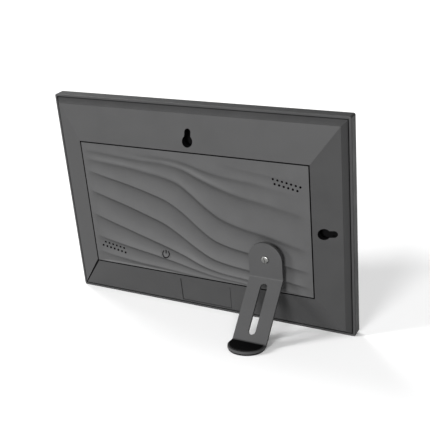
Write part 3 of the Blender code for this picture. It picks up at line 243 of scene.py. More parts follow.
@dataclass(frozen=True)
class Textured:
    """A moulded, coated or rubbery surface with a fine grain.

    The grain is a spark-eroded mould texture or the orange peel of a coat; the
    mottle is the slow drift of tone and gloss over a large moulding.
    """

    name: str
    colour: tuple[float, float, float]
    roughness: float
    grain_scale: float = 5200.0
    grain_depth: float = 0.05 * MM
    grain_strength: float = 0.35
    tone_spread: float = 0.05
    gloss_spread: float = 0.05
    mottle_scale: float = 55.0
    specular: float = 0.5
    metallic: float = 0.0
    coat: float = 0.0
    # Painted shade: share of the colour taken away just below the relief's crests.
    painted_shade_share: float = 0.0

    def make(self) -> bpy.types.Material:
        """Build the material."""
        bench = NodeBench(self.name)
        shader = bench.shader
        shader.inputs["Metallic"].default_value = self.metallic
        shader.inputs["Specular IOR Level"].default_value = self.specular
        shader.inputs["Coat Weight"].default_value = self.coat
        drift = bench.noise(self.mottle_scale, 3.0)
        fine = bench.noise(self.grain_scale, 2.0, 0.7)
        dark = tuple(value * (1.0 - self.tone_spread) for value in self.colour)
        light = tuple(value * (1.0 + self.tone_spread) for value in self.colour)
        tone = bench.blend(bench.ramp(drift, 0.0, 1.0), dark, light)
        speck = bench.node("ShaderNodeMix", data_type="RGBA", blend_type="MULTIPLY")
        speck.inputs["Factor"].default_value = 1.0
        bench.link(tone, speck.inputs["A"])
        grey = bench.ramp(fine, 0.93, 1.07)
        bench.link(grey, speck.inputs["B"])
        # Painted shade below the relief's crests, read from the vertex attribute.
        tone = bench.paint_crest_shade(speck.outputs["Result"], self.painted_shade_share)
        bench.link(tone, shader.inputs["Base Color"])
        low = self.roughness - self.gloss_spread
        high = self.roughness + self.gloss_spread
        bench.link(bench.ramp(drift, low, high), shader.inputs["Roughness"])
        bench.bump(fine, self.grain_depth, self.grain_strength)
        return bench.material


@dataclass(frozen=True)
class Plated:
    """Plated or bare sheet metal with fine rubbing marks along one axis."""

    name: str
    colour: tuple[float, float, float]
    roughness: float = 0.24
    stretch: tuple[float, float, float] = (1.0, 1.0, 14.0)
    mark_scale: float = 900.0

    def make(self) -> bpy.types.Material:
        """Build the material."""
        bench = NodeBench(self.name)
        shader = bench.shader
        shader.inputs["Metallic"].default_value = 1.0
        place = bench.node("ShaderNodeTexCoord")
        turn = bench.node("ShaderNodeMapping")
        turn.inputs["Scale"].default_value = self.stretch
        marks = bench.node("ShaderNodeTexNoise")
        marks.inputs["Scale"].default_value = self.mark_scale
        marks.inputs["Detail"].default_value = 3.0
        bench.link(place.outputs["Object"], turn.inputs["Vector"])
        bench.link(turn.outputs["Vector"], marks.inputs["Vector"])
        value = marks.outputs["Fac"]
        dim = tuple(part * 0.88 for part in self.colour)
        tone = bench.blend(bench.ramp(value, 0.0, 1.0), dim, self.colour)
        bench.link(tone, shader.inputs["Base Color"])
        low = self.roughness * 0.75
        bench.link(bench.ramp(value, low, self.roughness * 1.3), shader.inputs["Roughness"])
        bench.bump(value, 0.02 * MM, 0.12)
        return bench.material


@dataclass(frozen=True)
class Polished:
    """Polished glass or ink under it, with faint wipe marks in its gloss."""

    name: str
    colour: tuple[float, float, float]
    roughness: float = 0.05
    coat: float = 1.0

    def make(self) -> bpy.types.Material:
        """Build the material."""
        bench = NodeBench(self.name)
        shader = bench.shader
        shader.inputs["Coat Weight"].default_value = self.coat
        shader.inputs["Coat Roughness"].default_value = 0.02
        drift = bench.noise(38.0, 4.0)
        deep = tuple(value * 0.8 for value in self.colour)
        tone = bench.blend(bench.ramp(drift, 0.0, 1.0), deep, self.colour)
        bench.link(tone, shader.inputs["Base Color"])
        bench.link(bench.ramp(drift, self.roughness, self.roughness + 0.04), shader.inputs["Roughness"])
        return bench.material


@dataclass(frozen=True)
class Circuit:
    """Solder mask over copper tracks, or amber flexible circuit film."""

    name: str
    mask: tuple[float, float, float]
    track: tuple[float, float, float]
    track_scale: float = 420.0

    def make(self) -> bpy.types.Material:
        """Build the material."""
        bench = NodeBench(self.name)
        shader = bench.shader
        place = bench.node("ShaderNodeTexCoord")
        cells = bench.node("ShaderNodeTexBrick")
        cells.inputs["Scale"].default_value = self.track_scale
        cells.inputs["Mortar Size"].default_value = 0.03
        cells.inputs["Color1"].default_value = (*self.mask, 1.0)
        cells.inputs["Color2"].default_value = (*(value * 0.85 for value in self.mask), 1.0)
        cells.inputs["Mortar"].default_value = (*self.track, 1.0)
        bench.link(place.outputs["Object"], cells.inputs["Vector"])
        bench.link(cells.outputs["Color"], shader.inputs["Base Color"])
        drift = bench.noise(260.0, 2.0)
        bench.link(bench.ramp(drift, 0.32, 0.48), shader.inputs["Roughness"])
        bench.bump(drift, 0.03 * MM, 0.2)
        return bench.material


class Palette:
    """Every finish of the object, made once."""

    def __init__(self) -> None:
        """Make the materials."""
        self.shell = Textured("moulded charcoal", (0.0245, 0.0245, 0.0248), 0.50, specular=0.16).make()
        # The wave panel's colour carries painted shade below each dune crest.
        self.panel = Textured(
            "moulded wave panel", (0.0355, 0.0355, 0.0359), 0.52, specular=0.19, painted_shade_share=0.76
        ).make()
        self.leg = Textured(
            "satin powder coat",
            (0.0330, 0.0330, 0.0334),
            0.50,
            specular=0.115,
            grain_scale=2600.0,
            grain_depth=0.04 * MM,
            grain_strength=0.22,
            tone_spread=0.03,
        ).make()
        self.rubber = Textured(
            "matte black rubber",
            (0.0015, 0.0015, 0.0016),
            0.72,
            grain_scale=3400.0,
            grain_strength=0.5,
            specular=0.04,
        ).make()
        # Near-black of the inner mouldings; on the rear cover and the panel it is also painted shade, and on
        # the keyhole cups it stands partly for the shade inside the keyholes.
        self.inner = Textured("black moulding", (0.002, 0.002, 0.0022), 0.75, specular=0.05).make()
        self.ink = Textured(
            "pad-printed ink", (0.001, 0.001, 0.0011), 0.5, grain_strength=0.1, specular=0.04
        ).make()
        self.foam = Textured(
            "closed-cell foam", (0.012, 0.012, 0.012), 0.95, grain_scale=1500.0, grain_strength=0.9
        ).make()
        self.glass = Polished("black-backed glass", (0.006, 0.006, 0.007)).make()
        self.display = Polished("display behind glass, off", (0.011, 0.012, 0.016), roughness=0.08).make()
        self.nickel = Plated("bright nickel", (0.74, 0.73, 0.71)).make()
        self.screw = Plated("rubbed steel", (0.20, 0.20, 0.195), roughness=0.3).make()
        self.zinc = Plated("zinc plate", (0.58, 0.59, 0.60), roughness=0.34).make()
        self.board = Circuit("green circuit board", (0.012, 0.09, 0.04), (0.03, 0.16, 0.07)).make()
        self.flex = Circuit("amber circuit film", (0.42, 0.20, 0.05), (0.55, 0.30, 0.10)).make()


# --------------------------------------------------------------------- mesh workshop
def rounded(half_x: float, half_z: float, radius: float, steps: int, middle: float = 0.0) -> Outline:
    """Points round a rectangle with round corners.

    Args:
        half_x: Half of its width.
        half_z: Half of its height.
        radius: Corner radius.
        steps: Segments in each corner.
        middle: Height of its centre.

    Returns:
        (across, up) points, anticlockwise from the +X side.
    """
    points = []
    for quarter, (side_x, side_z) in enumerate(((1, 1), (-1, 1), (-1, -1), (1, -1))):
        for step in range(steps + 1):
            angle = math.pi / 2 * (quarter + step / steps)
            x = side_x * (half_x - radius) + radius * math.cos(angle)
            z = side_z * (half_z - radius) + radius * math.sin(angle)
            points.append((x, middle + z))
    return points


def round_outline(centre: tuple[float, float], radius: float, count: int) -> Outline:
    """Points round a circle."""
    turn = 2 * math.pi / count
    return [
        (centre[0] + radius * math.cos(turn * i), centre[1] + radius * math.sin(turn * i))
        for i in range(count)
    ]


def at_depth(outline: Outline, depth: float) -> Ring:
    """Stand an outline at one depth."""
    return [Vector((x, depth, z)) for x, z in outline]


def skin(rings: Sequence[Ring], closed: bool = False) -> bmesh.types.BMesh:
    """Extrude one ring of edges through a row of rings.

    Args:
        rings: Rings with the same number of points.
        closed: True joins the last ring to the first; False caps both ends.

    Returns:
        A closed mesh with its faces outwards.
    """
    bm = bmesh.new()
    station = bm.verts.layers.int.new("station")
    corners = [bm.verts.new(point) for point in rings[0]]
    for index, corner in enumerate(corners):
        corner[station] = index
    edges = [bm.edges.new(pair) for pair in zip(corners, corners[1:] + corners[:1])]
    start = list(edges)
    targets = list(rings[1:]) + ([rings[0]] if closed else [])
    for ring in targets:
        grown = bmesh.ops.extrude_edge_only(bm, edges=edges)["geom"]
        fresh = {item for item in grown if isinstance(item, bmesh.types.BMVert)}
        for corner in fresh:
            corner.co = ring[corner[station]]
        edges = [
            item
            for item in grown
            if isinstance(item, bmesh.types.BMEdge) and all(end in fresh for end in item.verts)
        ]
    if closed:
        bmesh.ops.remove_doubles(bm, verts=bm.verts, dist=1e-7)
    else:
        bmesh.ops.edgeloop_fill(bm, edges=start)
        bmesh.ops.edgeloop_fill(bm, edges=edges)
    bmesh.ops.recalc_face_normals(bm, faces=bm.faces)
    if bm.calc_volume(signed=True) < 0.0:
        bmesh.ops.reverse_faces(bm, faces=bm.faces)
    return bm


def turned(centre: tuple[float, float], profile: Iterable[tuple[float, float]], count: int) -> list[Ring]:
    """Rings of a turned shape from (radius, depth) points."""
    return [at_depth(round_outline(centre, radius, count), depth) for radius, depth in profile]


def join(target: bmesh.types.BMesh, extra: bmesh.types.BMesh) -> None:
    """Add one mesh's faces to another and free it."""
    scratch = bpy.data.meshes.new("scratch")
    extra.to_mesh(scratch)
    extra.free()
    target.from_mesh(scratch)
    bpy.data.meshes.remove(scratch)


class Workshop:
    """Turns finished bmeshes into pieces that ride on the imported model's bodies."""

    def __init__(self, lean: Lean) -> None:
        """Keep the standing pose for every piece.

        Args:
            lean: The standing pose.
        """
        self.lean = lean

    def plain(self, name: str, bm: bmesh.types.BMesh) -> bpy.types.Object:
        """Make an object from a bmesh in the frame's own axes."""
        mesh = bpy.data.meshes.new(name)
        bm.to_mesh(mesh)
        bm.free()
        made = bpy.data.objects.new(name, mesh)
        bpy.context.scene.collection.objects.link(made)
        return made

    def bake(self, target: bpy.types.Object) -> None:
        """Apply a piece's modifiers to its mesh."""
        graph = bpy.context.evaluated_depsgraph_get()
        fresh = bpy.data.meshes.new_from_object(target.evaluated_get(graph))
        old = target.data
        target.modifiers.clear()
        target.data = fresh
        fresh.name = target.name
        bpy.data.meshes.remove(old)

    def carve(
        self, target: bpy.types.Object, tool: bmesh.types.BMesh, operation: str = "DIFFERENCE"
    ) -> None:
        """Cut a tool shape out of a piece, or join it on.

        Args:
            target: The piece.
            tool: A closed mesh, which is used up.
            operation: DIFFERENCE or UNION.
        """
        cutter = self.plain("cutter", tool)
        change = target.modifiers.new("carve", "BOOLEAN")
        change.object = cutter
        change.operation = operation
        change.solver = "EXACT"
        self.bake(target)
        old = cutter.data
        bpy.data.objects.remove(cutter)
        bpy.data.meshes.remove(old)

    def soften(self, target: bpy.types.Object, width: float, angle: float = 30.0, segments: int = 2) -> None:
        """Round a piece's sharp edges by a small width."""
        rounding = target.modifiers.new("soften", "BEVEL")
        rounding.width = width
        rounding.segments = segments
        rounding.limit_method = "ANGLE"
        rounding.angle_limit = math.radians(angle)
        rounding.miter_outer = "MITER_ARC"
        rounding.use_clamp_overlap = True
        rounding.harden_normals = False
        self.bake(target)

    def level(self, target: bpy.types.Object) -> None:
        """Keep a piece's big faces flat in their shading right up to their rounded edges."""
        weighing = target.modifiers.new("level", "WEIGHTED_NORMAL")
        weighing.weight = 100
        weighing.keep_sharp = True
        self.bake(target)

    def paint_shade_faces(self, piece: bpy.types.Object, inside: Callable[[Vector, Vector], bool]) -> None:
        """Give a piece's faces that lie in shade its second, black material as painted shade.

        Args:
            piece: The object, still in the frame's own axes.
            inside: Tells from a face's middle and normal whether it gets the painted shade.
        """
        for face in piece.data.polygons:
            face.material_index = int(inside(face.center, face.normal))

    def finish(
        self,
        piece: bpy.types.Object,
        materials: Sequence[bpy.types.Material],
        body: str,
        slot: Slot,
        replaces: Sequence[str] = (),
        sharp: float = 32.0,
        level: bool = False,
    ) -> bpy.types.Object:
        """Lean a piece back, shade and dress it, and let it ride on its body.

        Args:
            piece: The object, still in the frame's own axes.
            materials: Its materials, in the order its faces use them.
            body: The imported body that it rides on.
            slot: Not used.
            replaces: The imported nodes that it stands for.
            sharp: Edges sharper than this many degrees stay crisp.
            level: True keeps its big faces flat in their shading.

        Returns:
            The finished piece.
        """
        mesh = piece.data
        kinds = [face.material_index for face in mesh.polygons]
        mesh.transform(self.lean.matrix)
        mesh.materials.clear()
        for material in materials:
            mesh.materials.append(material)
        mesh.polygons.foreach_set("material_index", kinds)
        mesh.shade_smooth()
        mesh.set_sharp_from_angle(angle=math.radians(sharp))
        mesh.update()
        if level:
            self.level(piece)
        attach(piece, body)
        if replaces:
            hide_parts(*replaces)
        LOG.info("%s: %d faces on %s", piece.name, len(piece.data.polygons), body)
        return piece


# --------------------------------------------------------------------- front of frame
@dataclass
class FrontFrame:
    """The front frame and its cover glass."""

    body: Body
    wall: float = 1.82 * MM
    corner: float = 1.6 * MM
    chamfer: float = 0.3 * MM
    groove_from_rear: float = 1.4 * MM
    groove_width: float = 0.35 * MM
    groove_depth: float = 0.35 * MM
    seat: float = 2.3 * MM
    ledge: float = 1.2 * MM
    ledge_reach: float = 13.5 * MM
    glass_drop: float = 0.1 * MM
    glass_thickness: float = 1.1 * MM
    picture_half: tuple[float, float] = (108.5 * MM, 67.8 * MM)
    port_margin: float = 0.35 * MM
    corner_steps: int = 8
    least_corner: float = 0.2 * MM
    edge_share: float = 0.3
    lip_share: float = 0.25
    glass_edge: float = 0.15 * MM
    glass_corner: float = 0.8 * MM
    picture_corner: float = 0.3 * MM
    glass_steps: int = 6

    def ring(self, inset: float, depth: float) -> Ring:
        """A loop round the frame at one inset and depth."""
        body = self.body
        radius = max(self.corner - inset, self.least_corner)
        half_x, half_z = body.half_width - inset, body.middle - inset
        return at_depth(rounded(half_x, half_z, radius, self.corner_steps, body.middle), depth)

    def section(self) -> list[tuple[float, float]]:
        """The frame's cross-section as (inset, depth) points."""
        depth = self.body.wall_depth
        soft = self.chamfer * self.edge_share
        groove = depth - self.groove_from_rear
        lip = self.groove_width * self.lip_share
        back = self.seat + self.ledge
        return [
            (self.chamfer, 0.0),
            (self.wall - soft, 0.0),
            (self.wall, soft),
            (self.wall, self.seat),
            (self.ledge_reach, self.seat),
            (self.ledge_reach, back),
            (self.wall, back),
            (self.wall, depth - soft),
            (self.wall - soft, depth),
            (self.chamfer, depth),
            (soft, depth - soft),
            (0.0, depth - self.chamfer),
            (0.0, groove + self.groove_width + lip),
            (self.groove_depth * 0.5, groove + self.groove_width),
            (self.groove_depth, groove + self.groove_width),
            (self.groove_depth, groove),
            (self.groove_depth * 0.5, groove),
            (0.0, groove - lip),
            (0.0, self.chamfer),
            (soft, soft),
        ]

    def port_tool(self, node: str) -> bmesh.types.BMesh:
        """An opening in the side wall that clears one socket.

        Args:
            node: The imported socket's name.
        """
        low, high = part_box(node)
        back = self.lean_inverse @ ((low + high) / 2)
        half_up = (high.z - low.z) / 2
        half_deep = self.socket_depth(node) / 2
        radius = half_deep + self.port_margin - 0.05 * MM
        half_open = half_up + self.port_margin / 2
        outline = rounded(half_deep + self.port_margin, half_open, radius, self.corner_steps)
        rings = []
        for x in (self.body.half_width - self.wall * 2, self.body.half_width + self.wall):
            rings.append([Vector((x, back.y + y, back.z + z)) for y, z in outline])
        return skin(rings)

    def socket_depth(self, node: str) -> float:
        """Thickness of a socket across the frame's depth."""
        corners = [self.lean_inverse @ v.co for v in frame["nodes"][node].data.vertices]
        return max(c.y for c in corners) - min(c.y for c in corners)

    def build(self, shop: Workshop, palette: Palette) -> None:
        """Make the front frame and the glass."""
        self.lean_inverse = shop.lean.matrix.inverted()
        rings = [self.ring(inset, depth) for inset, depth in self.section()]
        piece = shop.plain("front_frame", skin(rings, closed=True))
        for node in ("usb_socket", "card_slot"):
            shop.carve(piece, self.port_tool(node))
        shop.finish(piece, [palette.shell], "frame", Slot.CHARCOAL, ["front_bezel"], level=True)
        self.build_glass(shop, palette)

    def build_glass(self, shop: Workshop, palette: Palette) -> None:
        """Cover glass with its printed border round the picture area."""
        body = self.body
        inset = self.wall + body.clear
        soft = self.glass_edge
        front = self.glass_drop
        back = front + self.glass_thickness
        rings = []
        for grow, depth in ((0.0, back), (0.0, front + soft), (soft, front)):
            half_x = body.half_width - inset - grow
            half_z = body.middle - inset - grow
            outline = rounded(half_x, half_z, self.glass_corner, self.glass_steps, body.middle)
            rings.append(at_depth(outline, depth))
        picture = rounded(*self.picture_half, self.picture_corner, self.glass_steps, body.middle)
        rings.append(at_depth(picture, front))
        bm = skin(rings)
        for face in bm.faces:
            inside = all(abs(v.co.x) <= self.picture_half[0] + 1e-6 for v in face.verts)
            face.material_index = int(inside and face.calc_center_median().y < front + 1e-6)
        piece = shop.plain("glass_front", bm)
        materials = [palette.glass, palette.display]
        shop.finish(piece, materials, "frame", Slot.GLASS, ["cover_glass"])


# ------------------------------------------------------------------------ rear cover
@dataclass
class RearCover:
    """The sloped rear cover with its keyholes and label recess."""

    body: Body
    start: float = 2.62 * MM
    base: float = 8.9 * MM
    step_inset: float = 6.2 * MM
    step_depth: float = 14.3 * MM
    thickness: float = 2.1 * MM
    inner_shift: float = 1.0 * MM
    inner_thickness: float = 1.9 * MM
    ledge_width: float = 3.2 * MM
    ledge_thickness: float = 1.6 * MM
    corner: float = 0.8 * MM
    keyhole: float = 4.6 * MM
    neck: float = 2.75 * MM
    reach: float = 9.8 * MM
    top_inset: float = 26.9 * MM
    side_inset: float = 19.7 * MM
    floor: float = 9.2 * MM
    recess_half: float = 23.2 * MM
    recess_shift: float = -2.4 * MM
    recess_slant: float = 1.6 * MM
    recess_bottom: float = 7.4 * MM
    recess_top: float = 31.0 * MM
    recess_depth: float = 0.3 * MM
    line_width: float = 0.5 * MM
    line_depth: float = 0.75 * MM
    mitre_wide: float = 1.0 * MM
    mitre_narrow: float = 0.5 * MM
    mitre_depth: float = 1.6 * MM
    mitre_taper: float = 0.8
    edge_round: float = 0.22 * MM
    least_turn: float = 12.0
    # Faces deeper than this below the outer slopes get painted shade.
    painted_shade_depth: float = 0.35 * MM
    rim_inset: float = 0.1 * MM
    rim_rise: float = 0.5 * MM
    inner_corner: float = 0.2 * MM
    entry_steps: int = 44
    neck_steps: int = 18

    def ring(self, inset_x: float, inset_z: float, depth: float, corner: float) -> Ring:
        """A loop round the cover at its own insets from the sides and the ends."""
        body = self.body
        half_x = body.half_width - inset_x
        half_z = body.middle - inset_z
        return at_depth(rounded(half_x, half_z, corner, 4, body.middle), depth)

    def rings(self) -> list[Ring]:
        """The cover's cross-section, swept round the frame."""
        body = self.body
        open_x, open_z = body.opening_x, body.opening_z
        ledge = body.total_depth - body.panel_thickness - body.clear
        low = ledge - self.ledge_thickness
        inner = self.step_inset + self.inner_shift
        width = self.ledge_width
        sharp = self.inner_corner
        rim = self.start + self.rim_inset
        sections = (
            (self.start, self.start, self.base, self.corner),
            (rim, rim, self.base + self.rim_rise, self.corner),
            (self.step_inset, self.step_inset, self.step_depth, self.corner * 0.5),
            (open_x, open_z, body.total_depth, sharp),
            (open_x, open_z, ledge, sharp),
            (open_x + width, open_z + width, ledge, sharp),
            (open_x + width, open_z + width, low, sharp),
            (open_x - width, open_z - width, low, sharp),
            (inner, inner, self.step_depth - self.inner_thickness, sharp),
            (self.start + self.thickness, self.start + self.thickness, self.base, sharp),
        )
        return [self.ring(*section) for section in sections]

    def keyhole_outline(self, centre: Vector, along: Vector) -> Outline:
        """Round entry with a round-ended neck.

        Args:
            centre: Middle of the round entry, as (across, up).
            along: The way the neck points, as a unit (across, up) vector.
        """
        across = Vector((-along.y, along.x))
        opening = math.asin(self.neck / self.keyhole)
        points = []
        for step in range(self.entry_steps + 1):
            angle = opening + (2 * math.pi - 2 * opening) * step / self.entry_steps
            points.append(centre + (along * math.cos(angle) + across * math.sin(angle)) * self.keyhole)
        tip = centre + along * (self.reach - self.neck)
        for step in range(self.neck_steps + 1):
            angle = math.pi * (step / self.neck_steps - 0.5)
            points.append(tip + (along * math.cos(angle) + across * math.sin(angle)) * self.neck)
        return [(point.x, point.y) for point in points]

    def keyhole_tools(self) -> list[bmesh.types.BMesh]:
        """Cutters for the top and the side keyhole."""
        body = self.body
        places = (
            (Vector((0.0, body.height - self.top_inset)), Vector((0.0, 1.0))),
            (Vector((self.side_inset - body.half_width, body.middle)), Vector((-1.0, 0.0))),
        )
        tools = []
        for centre, along in places:
            outline = self.keyhole_outline(centre, along)
            past = body.total_depth + 1 * MM
            tools.append(skin([at_depth(outline, self.floor), at_depth(outline, past)]))
        return tools

    def slope_point(self, x: float, up: float) -> Vector:
        """A point on the lower slope's outer face."""
        share = (up - self.step_inset) / (self.body.opening_z - self.step_inset)
        depth = self.step_depth + share * (self.body.total_depth - self.step_depth)
        return Vector((x, depth, up))

    def recess_corners(self) -> list[Vector]:
        """Corners of the slanted label recess, from the lower left, anticlockwise."""
        low = self.recess_shift + self.recess_slant
        high = self.recess_shift - self.recess_slant
        return [
            self.slope_point(low - self.recess_half, self.recess_bottom),
            self.slope_point(low + self.recess_half, self.recess_bottom),
            self.slope_point(high + self.recess_half, self.recess_top),
            self.slope_point(high - self.recess_half, self.recess_top),
        ]

    def recess_tools(self) -> list[bmesh.types.BMesh]:
        """Cutters for the label recess and the fine line round three of its sides."""
        corners = self.recess_corners()
        sink = Vector((0.0, self.recess_depth, 0.0))
        tools = [skin([[corner - sink for corner in corners], [corner + sink for corner in corners]])]
        deep = Vector((0.0, self.line_depth, 0.0))
        for start, end in ((corners[3], corners[0]), (corners[0], corners[1]), (corners[1], corners[2])):
            along = (end - start).normalized()
            side = along.cross(Vector((0.0, 1.0, 0.0))).normalized() * (self.line_width / 2)
            reach = along * (self.line_width / 2)
            first, last = start - reach, end + reach
            outline = [first - side, first + side, last + side, last - side]
            tools.append(skin([[point - deep for point in outline], [point + deep for point in outline]]))
        return tools

    def mitre_tool(self) -> bmesh.types.BMesh:
        """Cutter for the tapering joint line down the lower mitre on the +X side."""
        body = self.body
        inner = Vector((body.half_width - body.opening_x, body.total_depth, body.opening_z))
        outer = Vector((body.half_width - self.step_inset, self.step_depth, self.step_inset))
        ends = ((inner, self.mitre_wide), (outer, self.mitre_narrow))
        along = (ends[1][0] - ends[0][0]).normalized()
        side = along.cross(Vector((0.0, 1.0, 0.0))).normalized()
        rise = Vector((0.0, body.clear, 0.0))
        deep = Vector((0.0, self.mitre_depth, 0.0))
        rings = []
        for point, half in ends:
            wide = side * half
            low = wide * self.mitre_taper
            rings.append([point - wide + rise, point + wide + rise, point + low - deep, point - low - deep])
        rings[0] = [point - along * body.clear for point in rings[0]]
        return skin(rings)

    def build(self, shop: Workshop, palette: Palette) -> None:
        """Make the rear cover."""
        piece = shop.plain("rear_cover", skin(self.rings(), closed=True))
        for tool in (*self.keyhole_tools(), *self.recess_tools(), self.mitre_tool()):
            shop.carve(piece, tool)
        shop.soften(piece, self.edge_round, angle=self.least_turn)
        # Painted shade: the gap walls round the panel, the ledge, the keyholes, the recess lines and the
        # mitre groove are coloured black.
        shop.paint_shade_faces(piece, lambda middle, _: self.below_face(middle) > self.painted_shade_depth)
        finishes = [palette.shell, palette.inner]
        shop.finish(piece, finishes, "frame", Slot.CHARCOAL, ["rear_housing"], sharp=40.0, level=True)

    def below_face(self, point: Vector) -> float:
        """How deep a point lies below the cover's outer slopes."""
        body = self.body
        inset_x = body.half_width - abs(point.x)
        inset_z = body.middle - abs(point.z - body.middle)
        if min(inset_x, inset_z) < self.step_inset:
            return 0.0
        share_x = (inset_x - self.step_inset) / (body.opening_x - self.step_inset)
        share_z = (inset_z - self.step_inset) / (body.opening_z - self.step_inset)
        share = min(share_x, share_z, 1.0)
        return self.step_depth + share * (body.total_depth - self.step_depth) - point.y


# ------------------------------------------------------------------------ wave relief
@dataclass(frozen=True)
class Crease:
    """One dune crest: (across, up, fall) points from the +X side to the -X side.

    Across and up are shares of the panel's half width and half height, and fall
    is how deep the surface drops below the crest there, in millimetres.
    """

    points: tuple[tuple[float, float, float], ...]

    def read(self, across: np.ndarray) -> tuple[np.ndarray, np.ndarray]:
        """Crest height and fall at places across the panel.

        Args:
            across: Shares of the half width.

        Returns:
            Heights as shares of the half height, and falls in millimetres.
        """
        table = np.array(self.points[::-1])
        heights = smooth_line(table[:, 0], table[:, 1], across)
        falls = np.maximum(smooth_line(table[:, 0], table[:, 2], across), 0.0)
        return heights, falls


def smooth_line(places: np.ndarray, values: np.ndarray, at: np.ndarray) -> np.ndarray:
    """Read a smooth curve through points with rising places.

    Args:
        places: Where the points are.
        values: Their values.
        at: Where to read the curve.

    Returns:
        The curve's values, on cubic arcs whose slopes follow the neighbours.
    """
    slopes = np.gradient(values, places)
    at = np.clip(at, places[0], places[-1])
    index = np.clip(np.searchsorted(places, at) - 1, 0, len(places) - 2)
    run = places[index + 1] - places[index]
    share = (at - places[index]) / run
    rise = values[index + 1] - values[index]
    first = slopes[index] * run
    last = slopes[index + 1] * run
    curve = first * share + (3 * rise - 2 * first - last) * share**2
    return values[index] + curve + (first + last - 2 * rise) * share**3


CREASES = (
    Crease(
        (
            (1.0, 1.3, 0.0), (0.2, 1.08, 0.0), (-0.2, 0.93, 0.0), (-0.45, 0.84, 0.6),
            (-0.7, 0.79, 0.6), (-1.0, 0.74, 0.0),
        )
    ),
    Crease(
        (
            (1.0, 0.99, 0.0), (0.62, 0.925, 0.0), (0.38, 0.89, 0.7), (0.14, 0.872, 1.5),
            (0.01, 0.83, 1.9), (-0.12, 0.76, 1.8), (-0.25, 0.71, 1.5), (-0.38, 0.68, 1.2),
            (-0.55, 0.65, 0.8), (-0.75, 0.59, 0.3), (-1.0, 0.5, 0.0),
        )
    ),
    Crease(
        (
            (1.0, 0.89, 0.7), (0.82, 0.858, 1.3), (0.64, 0.83, 1.6), (0.45, 0.805, 1.5),
            (0.2, 0.785, 1.5), (0.04, 0.72, 2.0), (-0.06, 0.64, 2.2), (-0.22, 0.53, 2.0),
            (-0.37, 0.447, 1.6), (-0.68, 0.345, 1.0), (-1.0, 0.22, 0.3),
        )
    ),
    Crease(
        (
            (1.0, 0.74, 0.8), (0.79, 0.706, 1.6), (0.58, 0.672, 1.7), (0.41, 0.628, 1.8),
            (0.25, 0.58, 1.9), (0.11, 0.5, 2.2), (0.01, 0.37, 2.4), (-0.09, 0.22, 2.4),
            (-0.22, 0.06, 2.2), (-0.41, -0.06, 1.9), (-0.6, -0.125, 1.5), (-0.73, -0.18, 1.2),
            (-1.0, -0.29, 0.5),
        )
    ),
    Crease(
        (
            (1.0, 0.56, 0.9), (0.81, 0.482, 1.9), (0.6, 0.4, 2.3), (0.39, 0.3, 2.5),
            (0.21, 0.185, 2.7), (0.08, 0.03, 2.8), (-0.04, -0.155, 2.9), (-0.15, -0.3, 2.8),
            (-0.3, -0.395, 2.4), (-0.46, -0.445, 2.0), (-0.77, -0.555, 1.4), (-1.0, -0.62, 0.8),
        )
    ),
    Crease(
        (
            (1.0, 0.24, 1.0), (0.86, 0.165, 2.3), (0.63, 0.045, 2.9), (0.42, -0.08, 3.1),
            (0.27, -0.18, 3.2), (0.15, -0.31, 3.2), (0.0, -0.495, 3.2), (-0.13, -0.625, 3.1),
            (-0.29, -0.695, 2.8), (-0.45, -0.73, 2.3), (-0.76, -0.805, 1.5), (-1.0, -0.87, 0.8),
        )
    ),
    Crease(
        (
            (1.0, -0.15, 1.0), (0.88, -0.225, 2.3), (0.66, -0.348, 3.1), (0.45, -0.465, 3.2),
            (0.29, -0.553, 3.2), (0.12, -0.66, 3.2), (-0.04, -0.785, 3.0), (-0.17, -0.845, 2.6),
            (-0.43, -0.895, 1.8), (-1.0, -1.03, 0.8),
        )
    ),
    Crease(
        (
            (1.0, -0.53, 0.9), (0.87, -0.587, 1.9), (0.61, -0.675, 2.4), (0.39, -0.74, 2.6),
            (0.19, -0.81, 2.4), (0.02, -0.88, 2.1), (-0.11, -0.925, 1.8), (-0.43, -0.975, 1.2),
            (-1.0, -1.12, 0.5),
        )
    ),
    Crease(
        (
            (1.0, -0.81, 0.8), (0.82, -0.865, 1.3), (0.56, -0.918, 1.5), (0.32, -0.945, 1.5),
            (0.12, -0.975, 1.4), (-0.43, -1.05, 0.9), (-1.0, -1.22, 0.4),
        )
    ),
)


